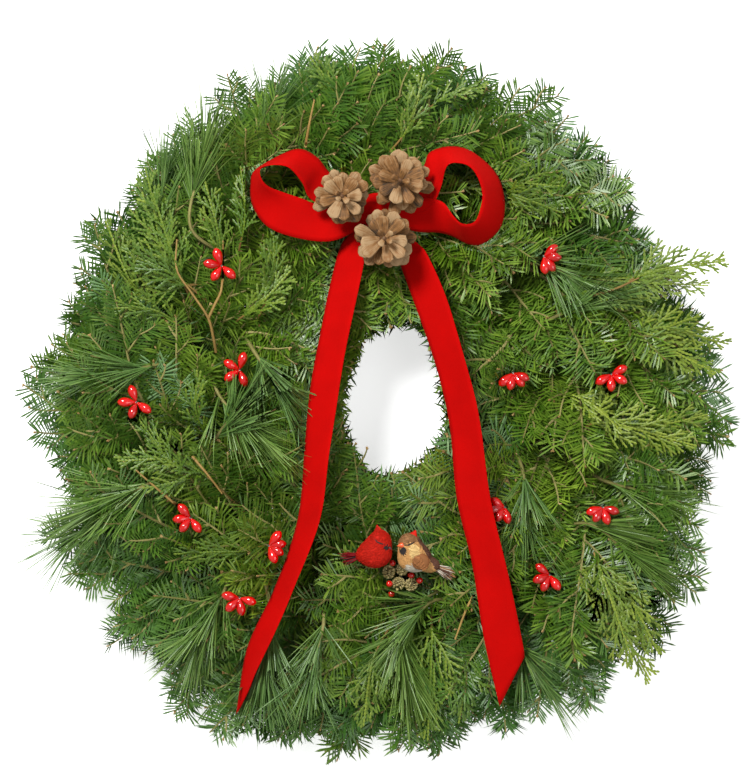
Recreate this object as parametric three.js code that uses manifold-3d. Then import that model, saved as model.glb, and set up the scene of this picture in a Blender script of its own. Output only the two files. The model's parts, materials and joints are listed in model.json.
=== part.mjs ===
// Fresh evergreen wreath: sprays of fir, pine and cedar held in a wire clamp ring, with a ribbon bow,
// three pine cones, wired berry clusters and two small birds on a cone pick.
// Millimetres. The wreath lies on its back: +Z comes out of its face, +Y is twelve o'clock, +X is right.
import * as THREE from "three";
import { mergeVertices } from "three/addons/utils/BufferGeometryUtils.js";
import Module from "manifold-3d";

const wasm = await Module();
wasm.setup();

// Wire ring and its clamps
const RING_RADIUS = 178; // centre line of a 14 inch ring
const WIRE_RADIUS = 2; // half the height of the ring's wire
const RING_STEPS = 24;
const CLAMP_COUNT = 12;
const PRONG_RADIUS = 1.3;
const PRONG_OFFSET = 6.8; // from the ring's centre line to a prong's
const PRONG_TOP = 21.5;
const PRONG_BEND = 3; // a prong turns in this far below its top
const PRONG_END_OFFSET = 3.4; // from the ring's centre line to a prong's end, folded in over the stems
const FIT_GAP = 0.35; // air between pieces that touch on the real wreath

// Stems in a clamp
const BUTT_RADIUS = 4.5; // the cut ends of one fir bunch, tied together
const BUTT_LENGTH = 38;
const BUTT_HEIGHT = 2 * WIRE_RADIUS + FIT_GAP + BUTT_RADIUS;
const STEM_RADIUS = 2.2; // a single pine or cedar stem
const SLOT_ANGLE = 0.4; // radians off the vertical, where a single stem lies on the bunch

// Foliage
const WREATH_RADIUS = 328; // furthest twig tips; the needles reach a little further
const FOLIAGE_TOP = 104; // no needle rises above this
const HOLE_CENTRE = new THREE.Vector2(13, 0);
const HOLE_HALF = new THREE.Vector2(60, 80); // half width and half height of the open middle
const TWIG_RADIUS = 1.5;
const SIDE_TWIG_LEAN = 42; // degrees off the main twig
const FIR_NEEDLE = { length: 22, lean: 56, tipLean: 30, seed: 100 }; // leans in degrees off the twig
const PINE_NEEDLE = { length: 78, lean: 34, tipLean: 20, seed: 300 };
const LEAN_SPREAD = 12; // degrees between a whorl's least and most leaning needles
const WHORL_BAND = 3; // length of twig that one whorl of needles grows from
const NEEDLE_GAP = 0.4; // least air between a needle and another piece
const NEEDLE_HALF = 0.9;
const STEM_BENDS = [0.07, 0.15, 0.25, 0.42, 0.68]; // closest together by the clamp
const FROND_THICKNESS = 1.2;
const FROND_START = 0.5; // share of a cedar stem before its frond opens
const FROND_RIB_HALF = 1.6;
const BRANCHLETS = 4; // on each side of a frond
const BRANCHLET_LEAN = 46; // degrees off the rib
const FROND_DROOP = 0.004; // per mm, how a frond's sides hang

// Bow, cones, berries and birds
const RIBBON_THICKNESS = 1.2; // the ribbon is 36.5 wide: its stations below give both of its edges
const KNOT = new THREE.Vector3(-3, 181, 90);
const KNOT_HALF = new THREE.Vector3(17, 15, 7);
const CONE_BASE_HEIGHT = 106;
const BERRY_LENGTH = 16.5;
const BERRY_RADIUS = 4.3;
const FINE_WIRE = 0.8;
const BIRD_HEIGHT = 92;

const COLOURS = {
  steel: 0x5d665f,
  fir: 0x35602b,
  pine: 0x4f8440,
  cedar: 0x6f8f33,
  velvet: 0xc90a0a,
  berry: 0xc4070b,
  cone: 0xa98350,
  redBird: 0xb5231a,
  tanBird: 0xb08a5c,
  beak: 0x3c3a38,
  orangeBeak: 0xd0562c,
  wing: 0x5b3f2a,
  smallCone: 0x8f8a62,
};

const UP = new THREE.Vector3(0, 0, 1);
const vec = (x, y, z) => new THREE.Vector3(x, y, z);
const radians = THREE.MathUtils.degToRad;

// Repeatable random numbers from 0 to 1
function makeRandom(seed) {
  let state = seed >>> 0;
  return () => {
    state = (state + 0x6d2b79f5) >>> 0;
    let t = Math.imul(state ^ (state >>> 15), state | 1);
    t ^= t + Math.imul(t ^ (t >>> 7), t | 61);
    return ((t ^ (t >>> 14)) >>> 0) / 4294967296;
  };
}

// A point given as on a clock face: degrees clockwise from twelve, distance from the middle, height
function onClock(degrees, radius, height) {
  const angle = radians(degrees);
  return vec(Math.sin(angle) * radius, Math.cos(angle) * radius, height);
}

// ---- solids ----

function solidFrom(points, triangles) {
  const build = (faces) =>
    new wasm.Manifold(
      new wasm.Mesh({
        numProp: 3,
        vertProperties: new Float32Array(points.flatMap((p) => [p.x, p.y, p.z])),
        triVerts: new Uint32Array(faces.flat()),
      }),
    );
  const solid = build(triangles);
  return solid.volume() > 0 ? solid : build(triangles.map(([a, b, c]) => [a, c, b]));
}

function solidOf(geometry) {
  const bare = geometry.clone();
  bare.deleteAttribute("normal");
  bare.deleteAttribute("uv");
  const merged = mergeVertices(bare, 1e-3);
  const position = merged.attributes.position;
  const points = [];
  for (let i = 0; i < position.count; i++) {
    points.push(new THREE.Vector3().fromBufferAttribute(position, i));
  }
  const triangles = [];
  for (let i = 0; i < merged.index.count; i += 3) {
    triangles.push([merged.index.getX(i), merged.index.getX(i + 1), merged.index.getX(i + 2)]);
  }
  return solidFrom(points, triangles);
}

// Joins solids into one body; a hollow that the join seals is filled and a loose scrap is dropped.
function joined(solids) {
  const whole = solids.reduce((sum, solid) => sum.add(solid));
  return whole.decompose().reduce((best, body) => (body.volume() > best.volume() ? body : best));
}

function meshOf(solid, name, colour, roughness = 0.8, metalness = 0) {
  const made = solid.getMesh();
  const geometry = new THREE.BufferGeometry();
  geometry.setAttribute("position", new THREE.BufferAttribute(made.vertProperties, 3));
  geometry.setIndex(new THREE.BufferAttribute(made.triVerts, 1));
  geometry.computeVertexNormals();
  const material = new THREE.MeshStandardMaterial({ color: colour, roughness, metalness });
  const mesh = new THREE.Mesh(geometry, material);
  mesh.name = name;
  return mesh;
}

// ---- what is already placed, as capsules, so that a needle can be left out where it would cross ----

const placed = [];

function place(from, to, radius, node, stem = false) {
  placed.push({ from, to, radius, node, stem });
}

function placePath(points, radius, node, stem = false) {
  for (let i = 1; i < points.length; i++) {
    place(points[i - 1], points[i], radius, node, stem);
  }
}

function segmentDistance(p1, q1, p2, q2) {
  const d1 = q1.clone().sub(p1);
  const d2 = q2.clone().sub(p2);
  const r = p1.clone().sub(p2);
  const a = d1.dot(d1);
  const e = d2.dot(d2);
  const b = d1.dot(d2);
  const c = d1.dot(r);
  const f = d2.dot(r);
  const denominator = a * e - b * b;
  const clamp = (x) => Math.min(1, Math.max(0, x));
  let s = denominator > 1e-9 ? clamp((b * f - c * e) / denominator) : 0;
  const t = e > 0 ? clamp((b * s + f) / e) : 0;
  s = a > 0 ? clamp((b * t - c) / a) : 0;
  return p1.clone().addScaledVector(d1, s).distanceTo(p2.clone().addScaledVector(d2, t));
}

function isFree(from, to, radius, owner, gap) {
  return placed.every(
    (other) =>
      other.node === owner ||
      segmentDistance(from, to, other.from, other.to) > radius + other.radius + gap,
  );
}

// ---- rods: wires, stems and needled twigs ----

// Directions across a path at a point: side lies level, normal points up from the path.
function frameAt(tangent, up = UP) {
  const side = tangent.clone().cross(up).normalize();
  const normal = side.clone().cross(tangent).normalize();
  return { side, normal };
}

// A closed rod. Each station is { point, radius, whorl }; the last one may have no radius and is a tip.
// The band after a station with a whorl grows needles: each of its facets rises to a needle's tip.
function rodSolid(stations, sides, needleTip = null, up = UP) {
  const points = [];
  const triangles = [];
  const rings = stations.map((station, i) => {
    const before = stations[Math.max(0, i - 1)].point;
    const after = stations[Math.min(stations.length - 1, i + 1)].point;
    const tangent = after.clone().sub(before).normalize();
    const { side, normal } = frameAt(tangent, up);
    if (station.radius === 0) {
      points.push(station.point);
      return { corners: Array(sides).fill(points.length - 1), tangent, side, normal };
    }
    const corners = [];
    for (let k = 0; k < sides; k++) {
      const angle = Math.PI / 2 + (2 * Math.PI * k) / sides;
      corners.push(points.length);
      points.push(
        station.point
          .clone()
          .addScaledVector(side, Math.cos(angle) * station.radius)
          .addScaledVector(normal, Math.sin(angle) * station.radius),
      );
    }
    return { corners, tangent, side, normal };
  });
  const addFacet = (a, b, c, ring, angle, whorl) => {
    if (a === b || b === c || a === c) {
      return;
    }
    const middle = points[a].clone().add(points[b]).add(points[c]).divideScalar(3);
    const tip = whorl && needleTip ? needleTip(middle, ring, angle, whorl) : null;
    if (!tip) {
      triangles.push([a, b, c]);
      return;
    }
    points.push(tip);
    const apex = points.length - 1;
    triangles.push([a, b, apex], [b, c, apex], [c, a, apex]);
  };
  for (let i = 0; i + 1 < rings.length; i++) {
    const low = rings[i].corners;
    const high = rings[i + 1].corners;
    for (let k = 0; k < sides; k++) {
      const next = (k + 1) % sides;
      const facing = Math.PI / 2 + (2 * Math.PI * (k + 0.5)) / sides;
      const spread = Math.PI / (sides * 2.2);
      addFacet(low[k], low[next], high[next], rings[i], facing + spread, stations[i].whorl);
      addFacet(low[k], high[next], high[k], rings[i], facing - spread, stations[i].whorl);
    }
  }
  const first = rings[0].corners;
  const last = rings[rings.length - 1].corners;
  for (let k = 1; k + 1 < sides; k++) {
    triangles.push([first[0], first[k + 1], first[k]]);
    if (last[0] !== last[1]) {
      triangles.push([last[0], last[k], last[k + 1]]);
    }
  }
  return solidFrom(points, triangles);
}

function wireSolid(points, radius, sides = 4, up = UP) {
  return rodSolid(
    points.map((point) => ({ point, radius })),
    sides,
    null,
    up,
  );
}

// Stations along a twig, bare at its root, with whorls of needles spread to its tip.
// The bare part has a station at each of its bends, given as shares of its length.
function twigStations(curve, length, radius, tipRadius, bareLength, whorls, bends = [0.5]) {
  const stations = [];
  const add = (distance, whorl) => {
    const share = Math.min(1, distance / length);
    stations.push({
      point: curve.getPointAt(share),
      radius: THREE.MathUtils.lerp(radius, tipRadius, share),
      whorl,
    });
  };
  add(0, null);
  if (bareLength > 60) {
    bends.forEach((share) => add(bareLength * share, null));
  }
  const lastBand = length - WHORL_BAND * 2;
  for (let i = 0; i < whorls; i++) {
    const distance = whorls > 1 ? bareLength + ((lastBand - bareLength) * i) / (whorls - 1) : lastBand;
    add(distance, { atTip: i === whorls - 1 });
    add(distance + WHORL_BAND, null);
  }
  stations.push({ point: curve.getPointAt(1), radius: 0, whorl: null });
  return stations;
}

// The tip of a needle that leans forward from the twig, or null where it would cross another piece
function needleGrower({ length, lean, tipLean }, node, random) {
  return (middle, ring, angle, whorl) => {
    const leanAngle = radians((whorl.atTip ? tipLean : lean) + (random() - 0.5) * LEAN_SPREAD);
    const reach = length * (0.86 + 0.22 * random());
    const direction = ring.side
      .clone()
      .multiplyScalar(Math.cos(angle))
      .addScaledVector(ring.normal, Math.sin(angle))
      .multiplyScalar(Math.sin(leanAngle))
      .addScaledVector(ring.tangent, Math.cos(leanAngle));
    const tip = middle.clone().addScaledVector(direction, reach);
    const outOfTwig = middle.clone().addScaledVector(direction, 0.2);
    if (tip.z < 1 || tip.z > FOLIAGE_TOP || !isFree(outOfTwig, tip, NEEDLE_HALF, node, NEEDLE_GAP)) {
      return null;
    }
    place(outOfTwig, tip, NEEDLE_HALF, node);
    return tip;
  };
}

// ---- the ring ----

const clampClocks = Array.from({ length: CLAMP_COUNT }, (_, i) => (360 / CLAMP_COUNT) * i);

function clampProngs(clock) {
  return [-1, 1].map((way) =>
    wireSolid(
      [
        onClock(clock, RING_RADIUS, WIRE_RADIUS),
        onClock(clock, RING_RADIUS + way * PRONG_OFFSET, PRONG_RADIUS + 2),
        onClock(clock, RING_RADIUS + way * PRONG_OFFSET, PRONG_TOP - PRONG_BEND),
        onClock(clock, RING_RADIUS + way * PRONG_END_OFFSET, PRONG_TOP),
      ],
      PRONG_RADIUS,
      3,
      onClock(clock + 90, 1, 0),
    ),
  );
}

function ringSolid() {
  const section = [];
  const sectionRadius = WIRE_RADIUS / Math.cos(Math.PI / 6);
  for (let i = 0; i <= 6; i++) {
    const angle = (Math.PI * i) / 3;
    section.push(
      new THREE.Vector2(
        RING_RADIUS + Math.cos(angle) * sectionRadius,
        WIRE_RADIUS + Math.sin(angle) * sectionRadius,
      ),
    );
  }
  const wire = solidOf(new THREE.LatheGeometry(section, RING_STEPS).rotateX(Math.PI / 2));
  const prongs = clampClocks.flatMap(clampProngs);
  return joined([wire, ...prongs]);
}

function placeRing() {
  for (let clock = 0; clock < 360; clock += 5) {
    const here = onClock(clock, RING_RADIUS, WIRE_RADIUS);
    place(here, onClock(clock + 5, RING_RADIUS, WIRE_RADIUS), WIRE_RADIUS + 0.4, "wire_ring");
  }
  for (const clock of clampClocks) {
    for (const way of [-1, 1]) {
      const foot = onClock(clock, RING_RADIUS + way * PRONG_OFFSET, 3);
      const shoulder = onClock(clock, RING_RADIUS + way * PRONG_OFFSET, PRONG_TOP - PRONG_BEND);
      const end = onClock(clock, RING_RADIUS + way * PRONG_END_OFFSET, PRONG_TOP);
      placePath([foot, shoulder, end], PRONG_RADIUS, "wire_ring");
    }
  }
}

// ---- foliage ----

// Distance from the middle to the edge of the open hole, in a clock direction
function holeRadius(degrees) {
  const direction = onClock(degrees, 1, 0);
  const { x: a, y: b } = HOLE_HALF;
  const { x: cx, y: cy } = HOLE_CENTRE;
  const p = (direction.x / a) ** 2 + (direction.y / b) ** 2;
  const q = (direction.x * cx) / a ** 2 + (direction.y * cy) / b ** 2;
  const w = (cx / a) ** 2 + (cy / b) ** 2 - 1;
  return (q + Math.sqrt(q * q - p * w)) / p;
}

// The four sprays of a fir bunch. A bunch lies clockwise from its clamp and covers the next one.
// Each spray: how far round its middle and tip lie, their distances out and heights, and its twigs.
const FIR_SPRAYS = [
  { turn: [7, 15], out: [258, WREATH_RADIUS], height: [18, 22], whorls: 3, sides: 2 },
  { turn: [15, 31], out: [240, WREATH_RADIUS - 12], height: [40, 58], whorls: 3, sides: 2 },
  { turn: [24, 45], out: [206, 248], height: [44, 72], whorls: 3, sides: 1 },
  { turn: [20, 38], out: [138, 0], height: [26, 42], whorls: 3, sides: 0 },
];

function firPath(clock, spray, random) {
  const swing = (random() - 0.5) * 5;
  const stretch = 0.96 + 0.07 * random();
  const lift = (random() - 0.5) * 8;
  const [middleTurn, tipTurn] = spray.turn;
  const [middleOut, tipOut] = spray.out;
  const [middleHeight, tipHeight] = spray.height;
  const tipClock = clock + tipTurn + swing;
  const tipRadius = tipOut > 0 ? tipOut * stretch : holeRadius(tipClock) + 14;
  const root = onClock(clock, RING_RADIUS, BUTT_HEIGHT);
  const along = onClock(clock + 90, BUTT_LENGTH * 0.3, 0);
  return new THREE.CatmullRomCurve3([
    root.clone().add(along),
    onClock(clock + middleTurn + swing * 0.5, middleOut, middleHeight + lift * 0.5),
    onClock(tipClock, tipRadius, tipHeight + lift),
  ]);
}

// Side twigs leave the main twig to its left and right, level with it
function sideTwig(curve, share, way, length) {
  const root = curve.getPointAt(share);
  const tangent = curve.getTangentAt(share);
  const { side } = frameAt(tangent);
  const direction = tangent
    .clone()
    .multiplyScalar(Math.cos(radians(SIDE_TWIG_LEAN)))
    .addScaledVector(side, way * Math.sin(radians(SIDE_TWIG_LEAN)));
  const tip = root.clone().addScaledVector(direction, length);
  return new THREE.LineCurve3(root, tip.setZ(Math.max(6, tip.z)));
}

// Every twig of one spray: the main one first
function sprayTwigs(curve, spray) {
  const length = curve.getLength();
  const twigs = [{ curve, length, radius: 2.4, bare: length * 0.42, whorls: spray.whorls }];
  for (let i = 0; i < spray.sides; i++) {
    const sideLength = Math.min(62, length * 0.36);
    twigs.push({
      curve: sideTwig(curve, 0.46 + 0.17 * i, i % 2 ? -1 : 1, sideLength),
      length: sideLength,
      radius: TWIG_RADIUS,
      bare: sideLength * 0.5,
      whorls: 1,
    });
  }
  return twigs;
}

function buttSolid(clock) {
  const middle = onClock(clock, RING_RADIUS, BUTT_HEIGHT);
  const along = onClock(clock + 90, BUTT_LENGTH / 2, 0);
  return wireSolid([middle.clone().sub(along), middle.clone().add(along)], BUTT_RADIUS, 6);
}

// Pine tufts and cedar fronds, placed by eye from the photo.
// Each: the clamp that holds it, its slot there (-1 inner, 1 outer), then middle and tip of its stem.
const PINE_SPRAYS = [
  { clamp: 8, slot: 1, middle: [-208, -76, 82], tip: [-264, -102, 82] },
  { clamp: 9, slot: 1, middle: [-214, 32, 76], tip: [-262, 22, 82] },
  { clamp: 9, slot: -1, middle: [-150, -2, 82], tip: [-118, -34, 86] },
  { clamp: 10, slot: 1, middle: [-180, 164, 88], tip: [-168, 232, 86] },
  { clamp: 7, slot: 1, middle: [-150, -190, 76], tip: [-172, -228, 80] },
  { clamp: 7, slot: -1, middle: [-104, -205, 80], tip: [-110, -258, 84] },
  { clamp: 6, slot: 1, middle: [14, -208, 80], tip: [26, -262, 84] },
  { clamp: 4, slot: 1, middle: [206, -122, 78], tip: [236, -146, 82] },
  { clamp: 1, slot: -1, middle: [150, 136, 80], tip: [186, 116, 84] },
];

const CEDAR_FRONDS = [
  { clamp: 1, slot: 1, middle: [206, 116, 76], tip: [318, 108, 82] },
  { clamp: 2, slot: 1, middle: [232, 66, 76], tip: [326, 24, 80] },
  { clamp: 3, slot: 1, middle: [210, -24, 84], tip: [306, -46, 88] },
  { clamp: 4, slot: -1, middle: [204, -172, 80], tip: [262, -272, 82] },
  { clamp: 5, slot: 1, middle: [52, -238, 78], tip: [48, -330, 78] },
  { clamp: 8, slot: -1, middle: [-184, -78, 90], tip: [-234, -14, 94] },
  { clamp: 10, slot: -1, middle: [-192, 112, 80], tip: [-224, 222, 86] },
  { clamp: 0, slot: 1, middle: [72, 206, 78], tip: [182, 204, 84] },
];

// A single stem lies on its bunch in the clamp, then rises to its middle and its tip.
function stemPath(spray) {
  const clock = clampClocks[spray.clamp];
  const reach = BUTT_RADIUS * Math.cos(Math.PI / 6) + STEM_RADIUS + FIT_GAP;
  const slot = onClock(
    clock,
    RING_RADIUS + spray.slot * Math.sin(SLOT_ANGLE) * reach,
    BUTT_HEIGHT + Math.cos(SLOT_ANGLE) * reach,
  );
  const along = onClock(clock + 90, 1, 0);
  return new THREE.CatmullRomCurve3([
    slot.clone().addScaledVector(along, -14),
    slot.clone().addScaledVector(along, -4),
    slot.clone().addScaledVector(along, 7),
    onClock(clock + 13, RING_RADIUS + 4 + 6 * spray.slot, 48),
    vec(...spray.middle),
    vec(...spray.tip),
  ]);
}

// ---- cedar ----

// Where the branchlets on one side of a frond leave its rib, and their tips as (along, across)
function frondBranchlets(length, way) {
  const lean = radians(BRANCHLET_LEAN);
  return Array.from({ length: BRANCHLETS }, (_, i) => {
    const root = length * (0.06 + (0.8 * (i + (way > 0 ? 0 : 0.5))) / BRANCHLETS);
    const reach = length * 0.38 * (1 - 0.62 * (i / BRANCHLETS));
    return { root, tip: [root + Math.cos(lean) * reach, way * Math.sin(lean) * reach] };
  });
}

// A point of the frond that opens at the share `start` of its stem
function frondPoint(curve, start, along, across, lift = 0) {
  const share = start + along / curve.getLength();
  const { side, normal } = frameAt(curve.getTangentAt(share));
  return curve
    .getPointAt(share)
    .addScaledVector(side, across)
    .addScaledVector(normal, lift - FROND_DROOP * across * across);
}

function placeFrond(curve, start, node) {
  const length = curve.getLength() * (1 - start);
  for (const way of [-1, 1]) {
    for (const { root, tip } of frondBranchlets(length, way)) {
      place(frondPoint(curve, start, root + 3, 0), frondPoint(curve, start, ...tip), 3.2, node);
    }
  }
}

// Outline of a flat frond, (along, across): branchlets leave the rib in turn on both sides
function frondOutline(length) {
  const side = (way) =>
    frondBranchlets(length, way).flatMap(({ root, tip: [along, across] }) => [
      [root, way * FROND_RIB_HALF],
      [root + (along - root) * 0.62, across * 0.74],
      [along, across],
      [root + 8, way * FROND_RIB_HALF],
    ]);
  return [[0, -1.4], ...side(-1), [length, 0], ...side(1).reverse(), [0, 1.4]];
}

function frondSolid(curve, start) {
  const length = curve.getLength() * (1 - start);
  const outline = frondOutline(length).map(([along, across]) => new THREE.Vector2(along, across));
  const faces = THREE.ShapeUtils.triangulateShape(outline, []);
  const points = [];
  const count = outline.length;
  for (const face of [0.5, -0.5]) {
    for (const { x: along, y: across } of outline) {
      points.push(frondPoint(curve, start, along, across, face * FROND_THICKNESS));
    }
  }
  const triangles = [];
  for (const [a, b, c] of faces) {
    triangles.push([a, b, c], [a + count, c + count, b + count]);
  }
  for (let i = 0; i < count; i++) {
    const next = (i + 1) % count;
    triangles.push([i, i + count, next], [next, i + count, next + count]);
  }
  return solidFrom(points, triangles);
}

// ---- bow ----

// Stations along a ribbon: x and y of its back edge, x and y of its front edge, the height of its
// middle, and how much higher the front edge is. The edges stay a ribbon's width apart.
const LEFT_LOOP = [
  [-10, 190, -12, 178, 90, 2],
  [-30, 207, -44, 181, 90, 12],
  [-47, 217, -65, 191, 92, 17],
  [-59, 232, -73, 206, 96, 22],
  [-81, 239, -86, 220, 100, 30],
  [-116, 221, -109, 220, 103, 36],
  [-123, 204, -112, 213, 103, 34],
  [-120, 184, -107, 203, 103, 28],
  [-107, 165, -92, 197, 102, 9],
  [-81, 154, -73, 191, 99, 3],
  [-47, 150, -56, 185, 96, 2],
  [-22, 160, -26, 184, 94, 1],
  [-6, 174, -8, 186, 92, 1],
];
const RIGHT_LOOP = [
  [4, 188, 6, 178, 90, 2],
  [28, 205, 34, 182, 91, 12],
  [47, 220, 49, 189, 93, 18],
  [54, 235, 58, 206, 97, 22],
  [71, 241, 71, 222, 101, 31],
  [92, 235, 82, 219, 103, 31],
  [111, 214, 92, 208, 103, 30],
  [120, 189, 99, 189, 103, 29],
  [114, 165, 96, 173, 103, 30],
  [102, 151, 91, 167, 102, 30],
  [88, 147, 85, 164, 101, 32],
  [58, 159, 66, 182, 97, 22],
  [36, 160, 44, 187, 95, 14],
  [16, 166, 20, 186, 93, 6],
  [2, 174, 4, 186, 91, 2],
];
const LEFT_TAIL = [
  [-12, 172, 0, 176, 88, 1],
  [-25, 160, -8, 166, 87, 10],
  [-34, 150, -11, 146, 87, 20],
  [-41, 131, -13, 131, 88, 22],
  [-53, 75, -25, 75, 92, 23],
  [-64, 17, -36, 17, 94, 24],
  [-71, -50, -46, -50, 96, 27],
  [-77, -117, -56, -117, 98, 30],
  [-101, -186, -82, -186, 97, 31],
  [-127, -244, -110, -248, 92, 32],
  [-137, -306, -121, -272, 84, 22],
];
const RIGHT_TAIL = [
  [-10, 174, 2, 172, 88, 1],
  [4, 158, 22, 160, 87, 10],
  [14, 144, 40, 146, 87, 18],
  [20, 132, 49, 134, 88, 20],
  [37, 86, 68, 88, 92, 18],
  [59, 20, 87, 22, 94, 22],
  [69, -28, 98, -26, 95, 22],
  [76, -97, 107, -95, 96, 18],
  [91, -163, 123, -162, 95, 16],
  [102, -232, 138, -231, 90, 4],
  [117, -297, 141, -249, 84, 4],
];

function ribbonSolid(stations) {
  const edge = (ox, oy, way) =>
    stations.map((s) => vec(s[ox], s[oy], s[4] + (way * s[5]) / 2));
  const back = edge(0, 1, -1);
  const front = edge(2, 3, 1);
  const points = [];
  stations.forEach((_, i) => {
    const before = Math.max(0, i - 1);
    const after = Math.min(stations.length - 1, i + 1);
    const along = back[after].clone().add(front[after]).sub(back[before]).sub(front[before]);
    const across = front[i].clone().sub(back[i]);
    const normal = across.cross(along).setLength(RIBBON_THICKNESS / 2);
    points.push(back[i].clone().add(normal), front[i].clone().add(normal));
    points.push(front[i].clone().sub(normal), back[i].clone().sub(normal));
  });
  const triangles = [];
  const quad = (a, b, c, d) => triangles.push([a, b, c], [a, c, d]);
  const last = 4 * (stations.length - 1);
  for (let low = 0; low < last; low += 4) {
    const high = low + 4;
    triangles.push([low, low + 1, high + 1], [low, high + 1, high]);
    quad(low + 1, low + 2, high + 2, high + 1);
    triangles.push([low + 2, low + 3, high + 2], [low + 3, high + 3, high + 2]);
    quad(low + 3, low, high, high + 3);
  }
  quad(3, 2, 1, 0);
  quad(last, last + 1, last + 2, last + 3);
  return solidFrom(points, triangles);
}

const RIBBONS = [LEFT_LOOP, RIGHT_LOOP, LEFT_TAIL, RIGHT_TAIL];
const BOW_WIRE = [
  vec(KNOT.x - 4, KNOT.y - 2, KNOT.z - KNOT_HALF.z - FIT_GAP),
  vec(-22, 176, 58),
  onClock(-9, RING_RADIUS, 2 * WIRE_RADIUS + FIT_GAP),
];

function ovalSolid(centre, half, columns = 8, rows = 6, turn = 0) {
  const geometry = new THREE.SphereGeometry(1, columns, rows).rotateX(Math.PI / 2);
  geometry.scale(half.x, half.y, half.z).rotateZ(radians(turn));
  return solidOf(geometry.translate(centre.x, centre.y, centre.z));
}

function placeBow() {
  for (const stations of RIBBONS) {
    for (let i = 1; i < stations.length; i++) {
      for (const step of [0, 1 / 3, 2 / 3]) {
        const row = stations[i].map((value, k) => THREE.MathUtils.lerp(stations[i - 1][k], value, step));
        const [backX, backY, frontX, frontY, height, rise] = row;
        const back = vec(backX, backY, height - rise / 2);
        place(back, vec(frontX, frontY, height + rise / 2), 3.5, "bow_ribbon");
      }
    }
  }
  place(KNOT, KNOT.clone().add(vec(1, 0, 0)), 16, "bow_ribbon");
  placePath(BOW_WIRE, FINE_WIRE + 0.6, "bow_wire");
}

// ---- pine cones ----

const PINE_CONES = [
  { name: "pine_cone_left", x: -34, y: 191, radius: 26, turn: 8 },
  { name: "pine_cone_right", x: 21, y: 206, radius: 29.5, turn: 20 },
  { name: "pine_cone_lower", x: 6, y: 151, radius: 28, turn: 2 },
];
// Rows of scales from the bottom: how many, reach as a share of the radius, height, upward lean
const SCALE_ROWS = [
  { count: 7, reach: 1, height: 5, lean: 10 },
  { count: 6, reach: 0.82, height: 12, lean: 26 },
  { count: 4, reach: 0.52, height: 19, lean: 42 },
];

function scaleSolid(reach, height, lean, turn) {
  const half = 5.6 * Math.sqrt(reach / 26);
  const outline = new THREE.Shape([
    new THREE.Vector2(3, -1.4),
    new THREE.Vector2(reach - 4, -half),
    new THREE.Vector2(reach, 0),
    new THREE.Vector2(reach - 4, half),
    new THREE.Vector2(3, 1.4),
  ]);
  const blade = new THREE.ExtrudeGeometry(outline, { depth: 2.2, bevelEnabled: false });
  blade.rotateY(-radians(lean)).translate(0, 0, height).rotateZ(radians(turn));
  return solidOf(blade);
}

function pineConeSolid(cone, bow) {
  const profile = [[0, 0], [8, 2], [4, 24], [0, 28]].map(([x, y]) => new THREE.Vector2(x, y));
  const parts = [solidOf(new THREE.LatheGeometry(profile, 6).rotateX(Math.PI / 2))];
  SCALE_ROWS.forEach((row, i) => {
    for (let k = 0; k < row.count; k++) {
      const turn = cone.turn + i * 23 + (360 * k) / row.count;
      const reach = (cone.radius * row.reach) / Math.cos(radians(row.lean));
      parts.push(scaleSolid(reach, row.height, row.lean, turn));
    }
  });
  const standing = joined(parts).translate([cone.x, cone.y, CONE_BASE_HEIGHT]);
  const base = vec(cone.x, cone.y, CONE_BASE_HEIGHT + 3);
  return joined([standing, seatedWire(base, KNOT, [bow], 1.2)]);
}

function placeCones() {
  for (const cone of PINE_CONES) {
    const base = vec(cone.x, cone.y, CONE_BASE_HEIGHT + 8);
    place(base, base.clone().add(vec(0, 0, 20)), cone.radius, cone.name);
  }
}

// ---- berries ----

// Wired clusters: x and y of the wire's end and the directions of its berries, in degrees from +X
const BERRY_CLUSTERS = [
  { x: -150, y: 127, turns: [110, 172, 237, 317] },
  { x: 159, y: 136, turns: [38, 355, 275, 306] },
  { x: -133, y: 27, turns: [75, 150, 215, 290] },
  { x: 130, y: 24, turns: [222, 258, 309, 338] },
  { x: 224, y: 23, turns: [25, 212, 270, 330] },
  { x: -232, y: -4, turns: [110, 180, 250, 325] },
  { x: -180, y: -115, turns: [131, 186, 235, 305] },
  { x: -105, y: -142, turns: [50, 8, 330, 293] },
  { x: -133, y: -192, turns: [170, 225, 278, 343] },
  { x: 122, y: -105, turns: [150, 190, 236, 282] },
  { x: 216, y: -105, turns: [200, 238, 287, 342] },
  { x: 165, y: -170, turns: [143, 200, 245, 303] },
];

function clusterHeight({ x, y }) {
  return 92 - 0.12 * Math.abs(Math.hypot(x, y) - 200);
}

function berryEnds(cluster) {
  const centre = vec(cluster.x, cluster.y, clusterHeight(cluster));
  return cluster.turns.map((turn) => {
    const direction = vec(Math.cos(radians(turn)), Math.sin(radians(turn)), 0.16).normalize();
    return { from: centre.clone().addScaledVector(direction, 1.5), direction };
  });
}

function berrySolid(from, direction, length, radius) {
  const profile = [[0, 0], [0.5, 0.2], [1, 0.62], [0, 1]];
  const points = profile.map(([x, y]) => new THREE.Vector2(x * radius, y * length));
  const geometry = new THREE.LatheGeometry(points, 5);
  geometry.applyQuaternion(new THREE.Quaternion().setFromUnitVectors(vec(0, 1, 0), direction));
  return solidOf(geometry.translate(from.x, from.y, from.z));
}

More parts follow.
